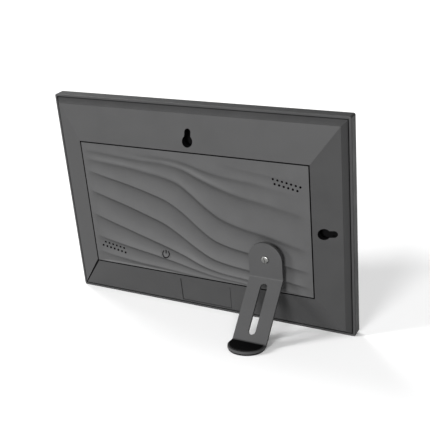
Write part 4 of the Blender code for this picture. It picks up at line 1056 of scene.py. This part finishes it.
@dataclass
class WaveRelief:
    """The sand-dune surface of the centre panel."""

    half: tuple[float, float]
    left_fade: float = 9.0 * MM
    right_fade: float = 12.0 * MM
    end_fade: float = 1.2 * MM
    sharpness: float = 0.34
    least_run: float = 1.6 * MM
    most_run: float = 4.2 * MM
    steepest: float = 0.26
    peak: float = 0.55
    crisp: float = 0.25 * MM
    soft: float = 1.5 * MM
    soft_reach: float = 6.0 * MM
    first_crisp: int = 4
    most_fall: float = 3.2 * MM
    proud: float = 0.25
    # How the painted shade below each crest grows with the fall and fades further down.
    painted_shade_rise: float = 1.2
    painted_shade_run: float = 0.22
    blur_steps: int = 7
    least_gap: float = 0.5 * MM
    lowest_gap: float = 0.3

    def fall(self, x: np.ndarray, z: np.ndarray) -> np.ndarray:
        """Depth of the surface below the panel's rim level.

        Args:
            x: Places across, from the panel's middle.
            z: Places up, from the panel's middle.

        Returns:
            Depths in metres.
        """
        shares = np.linspace(-1.0, 1.0, self.blur_steps)
        crisp = sum(self.fall_at(x, z + share * self.crisp) for share in shares) / len(shares)
        soft = sum(self.fall_at(x, z + share * self.soft) for share in shares) / len(shares)
        first, _ = CREASES[self.first_crisp].read(x / self.half[0])
        above = np.clip((z - first * self.half[1]) / self.soft_reach, 0.0, 1.0)
        mix = above * above * (3.0 - 2.0 * above)
        return crisp * (1.0 - mix) + soft * mix

    def drop(self, x: np.ndarray, z: np.ndarray) -> np.ndarray:
        """Strength of the painted shade at each place below the crests, from 0 to 1."""
        shares = np.linspace(-1.0, 1.0, self.blur_steps)
        return sum(self.fall_at(x, z + share * self.crisp, True) for share in shares) / len(shares)

    def fall_at(self, x: np.ndarray, z: np.ndarray, drop: bool = False) -> np.ndarray:
        """Depth of the surface without the rounding of its crests.

        Args:
            x: Places across, from the panel's middle.
            z: Places up, from the panel's middle.
            drop: True gives the strength of the painted shade below each crest instead.

        Returns:
            Depths in metres, or strengths from 0 to 1.
        """
        across = x / self.half[0]
        lines = [crease.read(across) for crease in CREASES]
        levels = [heights * self.half[1] for heights, _ in lines]
        levels.append(levels[-1] - self.lowest_gap * self.half[1])
        all_falls = [falls * MM for _, falls in lines]
        all_falls.append(all_falls[-1])
        depth = np.zeros_like(x)
        for index in range(len(lines)):
            top, bottom = levels[index], levels[index + 1]
            inside = (z <= top) & (z > bottom)
            gap = np.maximum(top - bottom, self.least_gap)
            down = np.clip(top - z, 0.0, gap)
            run = np.clip(gap * self.sharpness, self.least_run, self.most_run)
            share = down / gap
            crest = (all_falls[index] * (1.0 - share) + all_falls[index + 1] * share) * self.proud
            deep = np.minimum(all_falls[index] * (1.0 + self.proud), gap * self.steepest)
            trough = deep * (1.0 - np.exp(-down / run)) * (1.0 - share) / self.peak
            shape = self.most_fall * np.tanh(trough / self.most_fall) - crest
            # Painted shade: darkest right under a deep crest, fading further down.
            if drop:
                strength = np.clip(all_falls[index] / self.most_fall, 0.0, 1.0) ** self.painted_shade_rise
                shape = strength * np.exp(-down / (gap * self.painted_shade_run))
            depth = np.where(inside, shape, depth)
        left = np.clip((self.half[0] - x) / self.left_fade, 0.0, 1.0)
        right = np.clip((self.half[0] + x) / self.right_fade, 0.0, 1.0)
        ends = np.clip((self.half[1] - np.abs(z)) / self.end_fade, 0.0, 1.0)
        for share in (left, right, ends):
            depth = depth * share * share * (3.0 - 2.0 * share)
        return depth


@dataclass
class CentrePanel:
    """The flush wave panel with its loudspeaker holes, and the power button in it."""

    body: Body
    relief: WaveRelief
    cells: tuple[int, int] = (370, 200)
    hole: float = 0.95 * MM
    pitch: float = 3.73 * MM
    row_pitch: float = 3.6 * MM
    slant: float = math.radians(10.3)
    side_inset: float = 19.3 * MM
    low_inset: float = 15.8 * MM
    high_inset: float = 18.2 * MM
    rows: tuple[int, int] = (7, 6)
    button_from_side: float = 71.4 * MM
    button_from_low: float = 17.6 * MM
    button: float = 4.6 * MM
    button_gap: float = 0.1 * MM
    flange: float = 6.0 * MM
    flange_thickness: float = 1.1 * MM
    stem: float = 1.6 * MM
    stem_end: float = 14.9 * MM
    mark_radius: float = 3.1 * MM
    mark_width: float = 0.95 * MM
    mark_proud: float = 0.15 * MM
    pivot_hole: float = 2.7 * MM
    pad: float = 7.3 * MM
    # Faces that turn further than this from the panel's face count as walls and get painted shade.
    wall_normal: float = 0.15
    cap_chamfer: float = 0.04 * MM
    hole_steps: int = 20
    pivot_steps: int = 40
    button_steps: int = 72
    cap_rings: int = 12
    mark_opening: float = math.radians(38.0)
    mark_steps: int = 40
    mark_root: float = 0.15 * MM
    bar_start: float = 0.12
    bar_steps: int = 8

    def button_place(self) -> tuple[float, float]:
        """Middle of the power button."""
        body = self.body
        across = body.half_width - body.opening_x - self.button_from_side
        return across, body.opening_z + self.button_from_low

    def pivot_place(self, lean: Lean) -> tuple[float, float]:
        """Middle of the leg's pivot."""
        return lean.pivot.x, self.body.pivot_up

    def surface(self, x: np.ndarray, z: np.ndarray, lean: Lean) -> np.ndarray:
        """Depth of the panel's outer face, level on the pad under the leg's pivot."""
        fall = self.relief.fall(x, z - self.body.middle)
        pivot = self.pivot_place(lean)
        away = np.hypot(x - pivot[0], z - pivot[1])
        share = np.clip((away - self.pad) / self.pad, 0.0, 1.0)
        return self.body.total_depth - fall * share * share * (3.0 - 2.0 * share)

    def hole_places(self) -> list[tuple[float, float]]:
        """Middles of all the loudspeaker holes, in two slanted rows at each end."""
        body = self.body
        side = body.half_width - body.opening_x - self.side_inset
        centres = (
            (Vector((side, body.opening_z + self.low_inset)), -1.0),
            (Vector((-side, body.height - body.opening_z - self.high_inset)), 1.0),
        )
        along = Vector((math.cos(self.slant), math.sin(self.slant)))
        across = Vector((-along.y, along.x))
        places = []
        for centre, outward in centres:
            for count, way in zip(self.rows, (outward, -outward)):
                for index in range(count):
                    step = (index - (count - 1) / 2) * self.pitch
                    place = centre + along * step + across * (way * self.row_pitch / 2)
                    places.append((place.x, place.y))
        return places

    def blank(self, lean: Lean) -> bmesh.types.BMesh:
        """The panel before its holes: a fine grid pushed down to the relief."""
        body = self.body
        half_x, half_z = body.panel_half
        bm = bmesh.new()
        place = Matrix.Translation((0.0, body.total_depth, body.middle))
        stand = place @ Matrix.Rotation(math.pi / 2, 4, "X")
        bmesh.ops.create_grid(
            bm,
            x_segments=self.cells[0],
            y_segments=self.cells[1],
            size=1.0,
            matrix=stand @ Matrix.Diagonal((half_x, half_z, 1.0, 1.0)),
        )
        corners = list(bm.verts)
        x = np.array([corner.co.x for corner in corners])
        z = np.array([corner.co.z for corner in corners])
        for corner, depth in zip(corners, self.surface(x, z, lean)):
            corner.co.y = depth
        rim = [edge for edge in bm.edges if edge.is_boundary]
        grown = bmesh.ops.extrude_edge_only(bm, edges=rim)["geom"]
        for item in grown:
            if isinstance(item, bmesh.types.BMVert):
                item.co.y = body.total_depth - body.panel_thickness
        base = [item for item in grown if isinstance(item, bmesh.types.BMEdge) and item.is_boundary]
        bmesh.ops.edgeloop_fill(bm, edges=base)
        bmesh.ops.recalc_face_normals(bm, faces=bm.faces)
        return bm

    def hole_tool(self, lean: Lean) -> bmesh.types.BMesh:
        """One cutter with every hole of the panel."""
        body = self.body
        near = body.total_depth - body.panel_thickness - body.clear
        far = body.total_depth + body.clear
        holes = [(place, self.hole, self.hole_steps) for place in self.hole_places()]
        holes.append((self.button_place(), self.button + self.button_gap, self.button_steps))
        holes.append((self.pivot_place(lean), self.pivot_hole, self.pivot_steps))
        tool = bmesh.new()
        for place, radius, count in holes:
            join(tool, skin(turned(place, ((radius, near), (radius, far)), count)))
        return tool

    def build(self, shop: Workshop, palette: Palette) -> None:
        """Make the panel, the button and its mark."""
        piece = shop.plain("wave_panel", self.blank(shop.lean))
        shop.carve(piece, self.hole_tool(shop.lean))
        button = self.button_place()
        near_button = self.button + self.button_gap * 2
        # Painted shade: the panel's edge walls and its hole walls, except round the button, take the black
        # second material.
        shop.paint_shade_faces(
            piece,
            lambda middle, normal: abs(normal.y) < self.wall_normal
            and math.hypot(middle.x - button[0], middle.z - button[1]) > near_button,
        )
        self.store_painted_shade(piece)
        shop.finish(piece, [palette.panel, palette.inner], "frame", Slot.PANEL, ["rear_panel"], sharp=50.0)
        self.build_button(shop, palette)

    def store_painted_shade(self, piece: bpy.types.Object) -> None:
        """Store the strength of the painted shade below the crests at each of a piece's vertices."""
        mesh = piece.data
        places = np.empty(len(mesh.vertices) * 3)
        mesh.vertices.foreach_get("co", places)
        values = self.relief.drop(places[0::3], places[2::3] - self.body.middle)
        layer = mesh.attributes.new(PAINTED_SHADE_LAYER, "FLOAT", "POINT")
        layer.data.foreach_set("value", values)

    def build_button(self, shop: Workshop, palette: Palette) -> None:
        """Cap that carries the waves on, over its flange and stem, with a power mark."""
        body = self.body
        centre = self.button_place()
        under = body.total_depth - body.panel_thickness - body.clear
        ledge = under - self.flange_thickness
        profile = (
            (self.stem, self.stem_end),
            (self.stem, ledge),
            (self.flange, ledge),
            (self.flange, under),
            (self.button, under),
        )
        rings = turned(centre, profile, self.button_steps)
        lips = [self.button, self.button - self.cap_chamfer]
        lips += [self.button * share / self.cap_rings for share in range(self.cap_rings - 1, 0, -1)]
        for order, radius in enumerate(lips):
            outline = round_outline(centre, radius, self.button_steps)
            x = np.array([point[0] for point in outline])
            z = np.array([point[1] for point in outline])
            drop = self.cap_chamfer if order == 0 else 0.0
            depths = self.surface(x, z, shop.lean) - drop
            rings.append([Vector((px, depth, pz)) for px, depth, pz in zip(x, depths, z)])
        piece = shop.plain("button_cap", skin(rings))
        # The cap carries the same painted shade below the crests.
        self.store_painted_shade(piece)
        shop.finish(piece, [palette.panel], "button", Slot.PANEL, ["power_button"], sharp=50.0)
        self.build_mark(shop, palette)

    def build_mark(self, shop: Workshop, palette: Palette) -> None:
        """The usual power sign: an open ring and a bar, printed on the cap."""
        centre = self.button_place()
        half = self.mark_width / 2
        open_half = self.mark_opening
        ring = []
        for step in range(self.mark_steps + 1):
            angle = math.pi / 2 + open_half + (2 * math.pi - 2 * open_half) * step / self.mark_steps
            spot = Vector((math.cos(angle), math.sin(angle)))
            ring.append((Vector(centre) + spot * self.mark_radius, spot))
        bar = []
        for step in range(self.bar_steps + 1):
            up = self.mark_radius * (self.bar_start + 1.0 * step / self.bar_steps)
            bar.append((Vector(centre) + Vector((0.0, up)), Vector((1.0, 0.0))))
        mark = bmesh.new()
        for stroke in (ring, bar):
            join(mark, skin([self.stroke_ring(spot, side, half, shop.lean) for spot, side in stroke]))
        piece = shop.plain("power_mark", mark)
        shop.finish(piece, [palette.ink], "button", Slot.INNER, [], sharp=60.0)

    def stroke_ring(self, spot: Vector, side: Vector, half: float, lean: Lean) -> Ring:
        """Cross-section of a printed stroke that hugs the wave surface."""
        ends = [spot - side * half, spot + side * half]
        x = np.array([end.x for end in ends])
        z = np.array([end.y for end in ends])
        depths = self.surface(x, z, lean)
        top = [Vector((px, depth + self.mark_proud, pz)) for px, depth, pz in zip(x, depths, z)]
        low = [Vector((px, depth - self.mark_root, pz)) for px, depth, pz in zip(x, depths, z)]
        return [top[0], top[1], low[1], low[0]]


# -------------------------------------------------------------------------- stand leg
@dataclass
class StandLeg:
    """The bent plate leg, the rubber on its foot and the screw it swivels on."""

    body: Body
    half: float = 14.2 * MM
    thickness: float = 2.0 * MM
    bend_down: float = 16.0 * MM
    angle: float = math.radians(45.0)
    bend_radius: float = 3.0 * MM
    foot: float = 18.9 * MM
    slot_half: float = 3.0 * MM
    slot_start: float = 4.7 * MM
    slot_length: float = 41.2 * MM
    pivot_hole: float = 2.7 * MM
    edge_round: float = 0.35 * MM
    sole_thickness: float = 1.1 * MM
    sole_inset: float = 0.5 * MM
    sole_start: float = 1.0 * MM
    pad_thickness: float = 0.8 * MM
    pad_inset: float = 1.3 * MM
    pad_start: float = 2.2 * MM
    head_radius: float = 3.0 * MM
    head_height: float = 0.9 * MM
    shank: float = 2.3 * MM
    tail: float = 12.2 * MM
    drive_width: float = 0.9 * MM
    drive_depth: float = 0.55 * MM
    drive_turn: float = math.radians(14.0)
    pin_taper: float = 0.8
    pin_chamfer: float = 0.4 * MM
    head_chamfer: float = 0.1 * MM
    head_rim: float = 0.25 * MM
    head_soften: float = 0.08 * MM
    dome_steps: int = 12
    screw_steps: int = 56
    rubber_edge: float = 0.3 * MM
    rubber_steps: int = 36
    bend_steps: int = 10
    end_steps: int = 26
    end_start: float = 0.35
    slot_steps: int = 24

    def prepare(self, lean: Lean) -> None:
        """Work out the leg's lines in the frame's own axes."""
        inverse = lean.matrix.inverted()
        floor = inverse.to_3x3() @ Vector((0.0, 0.0, 1.0))
        self.foot_up = floor.normalized()
        self.foot_along = Vector((0.0, self.foot_up.z, -self.foot_up.y))
        self.down = Vector((0.0, math.sin(self.angle), -math.cos(self.angle)))
        self.out = Vector((0.0, math.cos(self.angle), math.sin(self.angle)))
        front = self.body.leg_front
        self.bend = Vector((lean.pivot.x, front, self.body.pivot_up - self.bend_down))
        floor_height = (lean.matrix @ self.bend).z
        top = self.sole_thickness + self.body.clear + self.thickness
        self.length = (floor_height - top) / -self.down.dot(self.foot_up)
        self.fold = self.bend + self.down * self.length

    def centreline(self) -> list[Vector]:
        """Middle of the plate from the top of the head to the end of the foot."""
        half = self.thickness / 2
        head = Vector((self.bend.x, self.bend.y - half, self.body.pivot_up + self.half))
        bend = self.bend - Vector((0.0, half, half * math.tan(self.angle / 2)))
        shift = half * math.tan(self.down.angle(self.foot_along) / 2)
        fold = self.fold - self.foot_up * half - self.foot_along * shift
        end = self.fold + self.foot_along * self.foot - self.foot_up * half
        path = [head]
        for before, corner, after in ((head, bend, fold), (bend, fold, end)):
            back = (before - corner).normalized()
            ahead = (after - corner).normalized()
            half_turn = back.angle(ahead) / 2
            middle = corner + (back + ahead).normalized() * (self.bend_radius / math.sin(half_turn))
            reach = self.bend_radius / math.tan(half_turn)
            start = (corner + back * reach - middle).normalized()
            finish = (corner + ahead * reach - middle).normalized()
            for step in range(self.bend_steps + 1):
                path.append(middle + start.slerp(finish, step / self.bend_steps) * self.bend_radius)
        path.append(end)
        return path

    def rows(self) -> list[Ring]:
        """Cross-sections along the plate, narrowing to its two round ends."""
        path = self.centreline()
        marks = [0.0]
        for start, end in zip(path, path[1:]):
            marks.append(marks[-1] + (end - start).length)
        total = marks[-1]
        steps, first = self.end_steps, self.end_start
        turns = [math.pi / 2 * (i + first) / (steps + first) for i in range(steps)]
        ease = [self.half * (1.0 - math.cos(turn)) for turn in turns]
        places = ease + [self.half] + [mark for mark in marks if self.half < mark < total - self.half]
        places += [total - self.half] + [total - value for value in reversed(ease)]
        rings = []
        for place in places:
            index = max(i for i, mark in enumerate(marks[:-1]) if mark <= place + 1e-9)
            share = (place - marks[index]) / (marks[index + 1] - marks[index])
            centre = path[index].lerp(path[index + 1], share)
            along = (path[index + 1] - path[index]).normalized()
            if share < 1e-3 and index > 0:
                along = (along + (path[index] - path[index - 1]).normalized()).normalized()
            outward = Vector((0.0, -along.z, along.y)) * (self.thickness / 2)
            gap = min(place, total - place, self.half)
            side = Vector((math.sqrt(self.half**2 - (self.half - gap) ** 2), 0.0, 0.0))
            left, right = centre - side, centre + side
            rings.append([left + outward, right + outward, right - outward, left - outward])
        return rings

    def slot_tool(self) -> bmesh.types.BMesh:
        """Cutter for the round-ended slot in the lower leg."""
        outline = []
        far = self.slot_start + self.slot_length - self.slot_half
        for centre, begin in ((far, 0.0), (self.slot_start + self.slot_half, math.pi)):
            for step in range(self.slot_steps + 1):
                angle = begin + math.pi * step / self.slot_steps
                across, along = self.slot_half * math.cos(angle), self.slot_half * math.sin(angle)
                outline.append((across, centre + along))
        rings = []
        for reach in (-2.0 * self.thickness, self.thickness):
            start = self.bend + self.out * reach
            rings.append([start + Vector((x, 0.0, 0.0)) + self.down * along for x, along in outline])
        return skin(rings)

    def foot_rings(self, inset: float, start: float, heights: Sequence[tuple[float, float]]) -> list[Ring]:
        """Layers of a round-ended rubber on the foot.

        Args:
            inset: How far its edge lies inside the plate's edge.
            start: How far it starts from the fold.
            heights: (height above the plate's top face, extra inset) pairs.

        Returns:
            One ring for each height.
        """
        rings = []
        for rise, extra in heights:
            half = self.half - inset - extra
            middle = self.foot - inset - extra - half
            outline = [(half, start + extra)]
            turns = [math.pi * step / self.rubber_steps for step in range(self.rubber_steps + 1)]
            outline += [(half * math.cos(turn), middle + half * math.sin(turn)) for turn in turns]
            outline.append((-half, start + extra))
            rings.append(
                [
                    self.fold + Vector((x, 0.0, 0.0)) + self.foot_along * along + self.foot_up * rise
                    for x, along in outline
                ]
            )
        return rings

    def build(self, shop: Workshop, palette: Palette) -> None:
        """Make the leg, its rubbers and its screw."""
        self.prepare(shop.lean)
        piece = shop.plain("bent_leg", skin(self.rows()))
        place = (shop.lean.pivot.x, self.body.pivot_up)
        near, far = self.body.leg_front - 2 * self.thickness, self.body.leg_front + 1 * MM
        span = ((self.pivot_hole, near), (self.pivot_hole, far))
        shop.carve(piece, skin(turned(place, span, 48)))
        shop.carve(piece, self.slot_tool())
        shop.soften(piece, self.edge_round, angle=40.0, segments=3)
        shop.finish(piece, [palette.leg], "stand", Slot.LEG, ["stand_leg"], sharp=50.0, level=True)
        self.build_rubbers(shop, palette)
        self.build_screw(shop, palette)

    def build_rubbers(self, shop: Workshop, palette: Palette) -> None:
        """The pad on top of the foot and the sole under it."""
        near = self.body.clear
        far = near + self.pad_thickness
        soft = self.rubber_edge
        pad = [(near, 0.0), (far - soft, 0.0), (far - soft * 0.3, soft * 0.3), (far, soft)]
        piece = shop.plain("rubber_pad", skin(self.foot_rings(self.pad_inset, self.pad_start, pad)))
        shop.finish(piece, [palette.rubber], "stand", Slot.RUBBER, ["foot_pad"])
        near = -self.thickness - self.body.clear
        far = near - self.sole_thickness
        sole = [(near, 0.0), (far + soft, 0.0), (far + soft * 0.3, soft * 0.3), (far, soft)]
        piece = shop.plain("rubber_sole", skin(self.foot_rings(self.sole_inset, self.sole_start, sole)))
        shop.finish(piece, [palette.rubber], "stand", Slot.RUBBER, ["foot_sole"])

    def dome(self, low: float, top: float) -> list[tuple[float, float]]:
        """Profile of the screw head's low dome, from its edge to near its middle."""
        rise = top - low
        angles = [math.pi / 2 * step / (self.dome_steps + 1) for step in range(self.dome_steps + 1)]
        return [(self.head_radius * math.cos(angle), low + rise * math.sin(angle)) for angle in angles]

    def build_screw(self, shop: Workshop, palette: Palette) -> None:
        """Shoulder screw with a low, slotted head."""
        seat = self.body.leg_front + self.body.clear
        top = seat + self.head_height
        profile = (
            (self.shank * self.pin_taper, self.tail),
            (self.shank, self.tail + self.pin_chamfer),
            (self.shank, seat),
            (self.head_radius - self.head_chamfer, seat),
            (self.head_radius, seat + self.head_chamfer),
            *self.dome(seat + self.head_rim, top),
        )
        place = (shop.lean.pivot.x, self.body.pivot_up)
        piece = shop.plain("swivel_screw", skin(turned(place, profile, self.screw_steps)))
        tool = bmesh.new()
        middle = Matrix.Translation((place[0], top, place[1]))
        turn = middle @ Matrix.Rotation(self.drive_turn, 4, "Y")
        size = Matrix.Diagonal((self.drive_width, 2 * self.drive_depth, 4 * self.head_radius, 1.0))
        bmesh.ops.create_cube(tool, size=1.0, matrix=turn @ size)
        shop.carve(piece, tool)
        shop.soften(piece, self.head_soften, angle=35.0)
        shop.finish(piece, [palette.screw], "frame", Slot.NICKEL, ["pivot_screw"], sharp=40.0)


# ---------------------------------------------------------------------- carried nodes
def dress_nodes(palette: Palette) -> None:
    """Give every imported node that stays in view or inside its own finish.

    Args:
        palette: The finishes.
    """
    finishes = {
        "tape": palette.foam,
        "gasket": palette.foam,
        "lcd": palette.display,
        "backlight": palette.zinc,
        "chassis": palette.zinc,
        "board_spacer": palette.nickel,
        "board_screw": palette.zinc,
        "main_board": palette.board,
        "shield": palette.nickel,
        "switch": palette.inner,
        "socket": palette.nickel,
        "slot": palette.nickel,
        "antenna": palette.flex,
        "ribbon": palette.flex,
        "lead": palette.inner,
        "speaker_left": palette.inner,
        "speaker_right": palette.inner,
        # The keyhole cups are near-black, which also paints the shade inside the keyholes.
        "cup": palette.inner,
        "spacer": palette.inner,
        "washer": palette.zinc,
        "plate": palette.zinc,
        "nut": palette.zinc,
    }
    for name, node in frame["nodes"].items():
        for key, material in finishes.items():
            if key in name:
                node.data.materials.clear()
                node.data.materials.append(material)
                break


# ------------------------------------------------------------------------------ studio
class LampKind(Enum):
    """Kinds of studio lamp."""

    PANEL = "AREA"
    DISTANT = "SUN"


@dataclass(frozen=True)
class StudioLamp:
    """One soft lamp, placed by its direction as seen from the object.

    The azimuth runs from straight behind the frame towards its +X side. A panel
    lamp has a width in metres and a power in watts; a distant lamp has a width
    in degrees and a strength.
    """

    name: str
    kind: LampKind
    azimuth: float
    elevation: float
    width: float
    power: float
    distance: float = 1.8

    def build(self, target: Vector) -> None:
        """Hang the lamp.

        Args:
            target: The point that it looks at.
        """
        lamp = bpy.data.lights.new(self.name, self.kind.value)
        lamp.energy = self.power
        if self.kind is LampKind.PANEL:
            lamp.size = self.width
        else:
            lamp.angle = math.radians(self.width)
        turn, rise = math.radians(self.azimuth), math.radians(self.elevation)
        away = Vector((math.cos(rise) * math.sin(turn), math.cos(rise) * math.cos(turn), math.sin(rise)))
        holder = bpy.data.objects.new(self.name, lamp)
        holder.location = target + away * self.distance
        holder.rotation_euler = (-away).to_track_quat("-Z", "Y").to_euler()
        bpy.context.scene.collection.objects.link(holder)


@dataclass
class Studio:
    """Pale floor, soft light and the camera behind and to one side of the frame."""

    floor_half: float = 20.0
    floor_tone: tuple[float, float, float, float] = (0.93, 0.93, 0.93, 1.0)
    target: tuple[float, float, float] = (0.0, 0.0, 0.08)
    azimuth: float = math.radians(208.05)
    pitch: float = math.radians(15.39)
    place: tuple[float, float, float] = (-0.33229, 0.58159, 0.27465)
    focal: float = 73.2
    sensor: float = 36.0
    sky: float = 0.2
    lamps: tuple[StudioLamp, ...] = (
        StudioLamp("key", LampKind.DISTANT, 0.0, 10.0, 16.0, 4.45),
        StudioLamp("side", LampKind.DISTANT, 45.0, 20.0, 16.0, 3.43),
        StudioLamp("fill", LampKind.DISTANT, -30.0, 30.0, 16.0, 1.22),
        StudioLamp("back", LampKind.DISTANT, 120.0, 45.0, 30.0, 1.63),
    )

    def build(self) -> None:
        """Set the floor, sky, lights and camera."""
        self.build_floor()
        self.build_sky()
        for lamp in self.lamps:
            lamp.build(Vector(self.target))
        self.build_camera()
        bpy.context.scene.view_settings.view_transform = "Standard"

    def build_floor(self) -> None:
        """A wide, pale sweep."""
        bm = bmesh.new()
        bmesh.ops.create_grid(bm, x_segments=1, y_segments=1, size=self.floor_half)
        mesh = bpy.data.meshes.new("floor")
        bm.to_mesh(mesh)
        bm.free()
        floor = bpy.data.objects.new("floor", mesh)
        bpy.context.scene.collection.objects.link(floor)
        bench = NodeBench("pale floor")
        bench.shader.inputs["Specular IOR Level"].default_value = 0.1
        bench.shader.inputs["Base Color"].default_value = self.floor_tone
        bench.shader.inputs["Roughness"].default_value = 0.8
        mesh.materials.append(bench.material)

    def build_sky(self) -> None:
        """Even, dim light from all round, which looks white behind the floor."""
        world = bpy.data.worlds.new("studio")
        world.use_nodes = True
        tree = world.node_tree
        shade = tree.nodes["Background"]
        shade.inputs["Color"].default_value = (1.0, 1.0, 1.0, 1.0)
        path = tree.nodes.new("ShaderNodeLightPath")
        level = tree.nodes.new("ShaderNodeMapRange")
        level.inputs["To Min"].default_value = self.sky
        level.inputs["To Max"].default_value = 1.0
        tree.links.new(path.outputs["Is Camera Ray"], level.inputs["Value"])
        tree.links.new(level.outputs["Result"], shade.inputs["Strength"])
        bpy.context.scene.world = world

    def build_camera(self) -> None:
        """A longish lens behind the frame and to its left, looking slightly down."""
        lens = bpy.data.cameras.new("camera")
        lens.lens = self.focal
        lens.sensor_width = self.sensor
        camera = bpy.data.objects.new("camera", lens)
        camera.location = self.place
        back = Vector(
            (
                math.sin(self.azimuth) * math.cos(self.pitch),
                -math.cos(self.azimuth) * math.cos(self.pitch),
                math.sin(self.pitch),
            )
        )
        camera.rotation_euler = (-back).to_track_quat("-Z", "Y").to_euler()
        bpy.context.scene.collection.objects.link(camera)
        bpy.context.scene.camera = camera


def corners(bounds: Sequence[Sequence[float]]) -> list[list[float]]:
    """A box as plain lists of numbers."""
    return [[float(value) for value in corner] for corner in bounds]


def main() -> None:
    """Build every sub-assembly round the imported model, then the studio."""
    logging.basicConfig(level=logging.INFO, format="%(name)s: %(message)s")
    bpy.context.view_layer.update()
    body = Body()
    shop = Workshop(Lean(body))
    palette = Palette()
    dress_nodes(palette)
    makers: tuple[Callable[[Workshop, Palette], None], ...] = (
        FrontFrame(body).build,
        RearCover(body).build,
        CentrePanel(body, WaveRelief(body.panel_half)).build,
        StandLeg(body).build,
    )
    for maker in makers:
        maker(shop, palette)
    Studio().build()


if __name__ == "__main__":
    main()
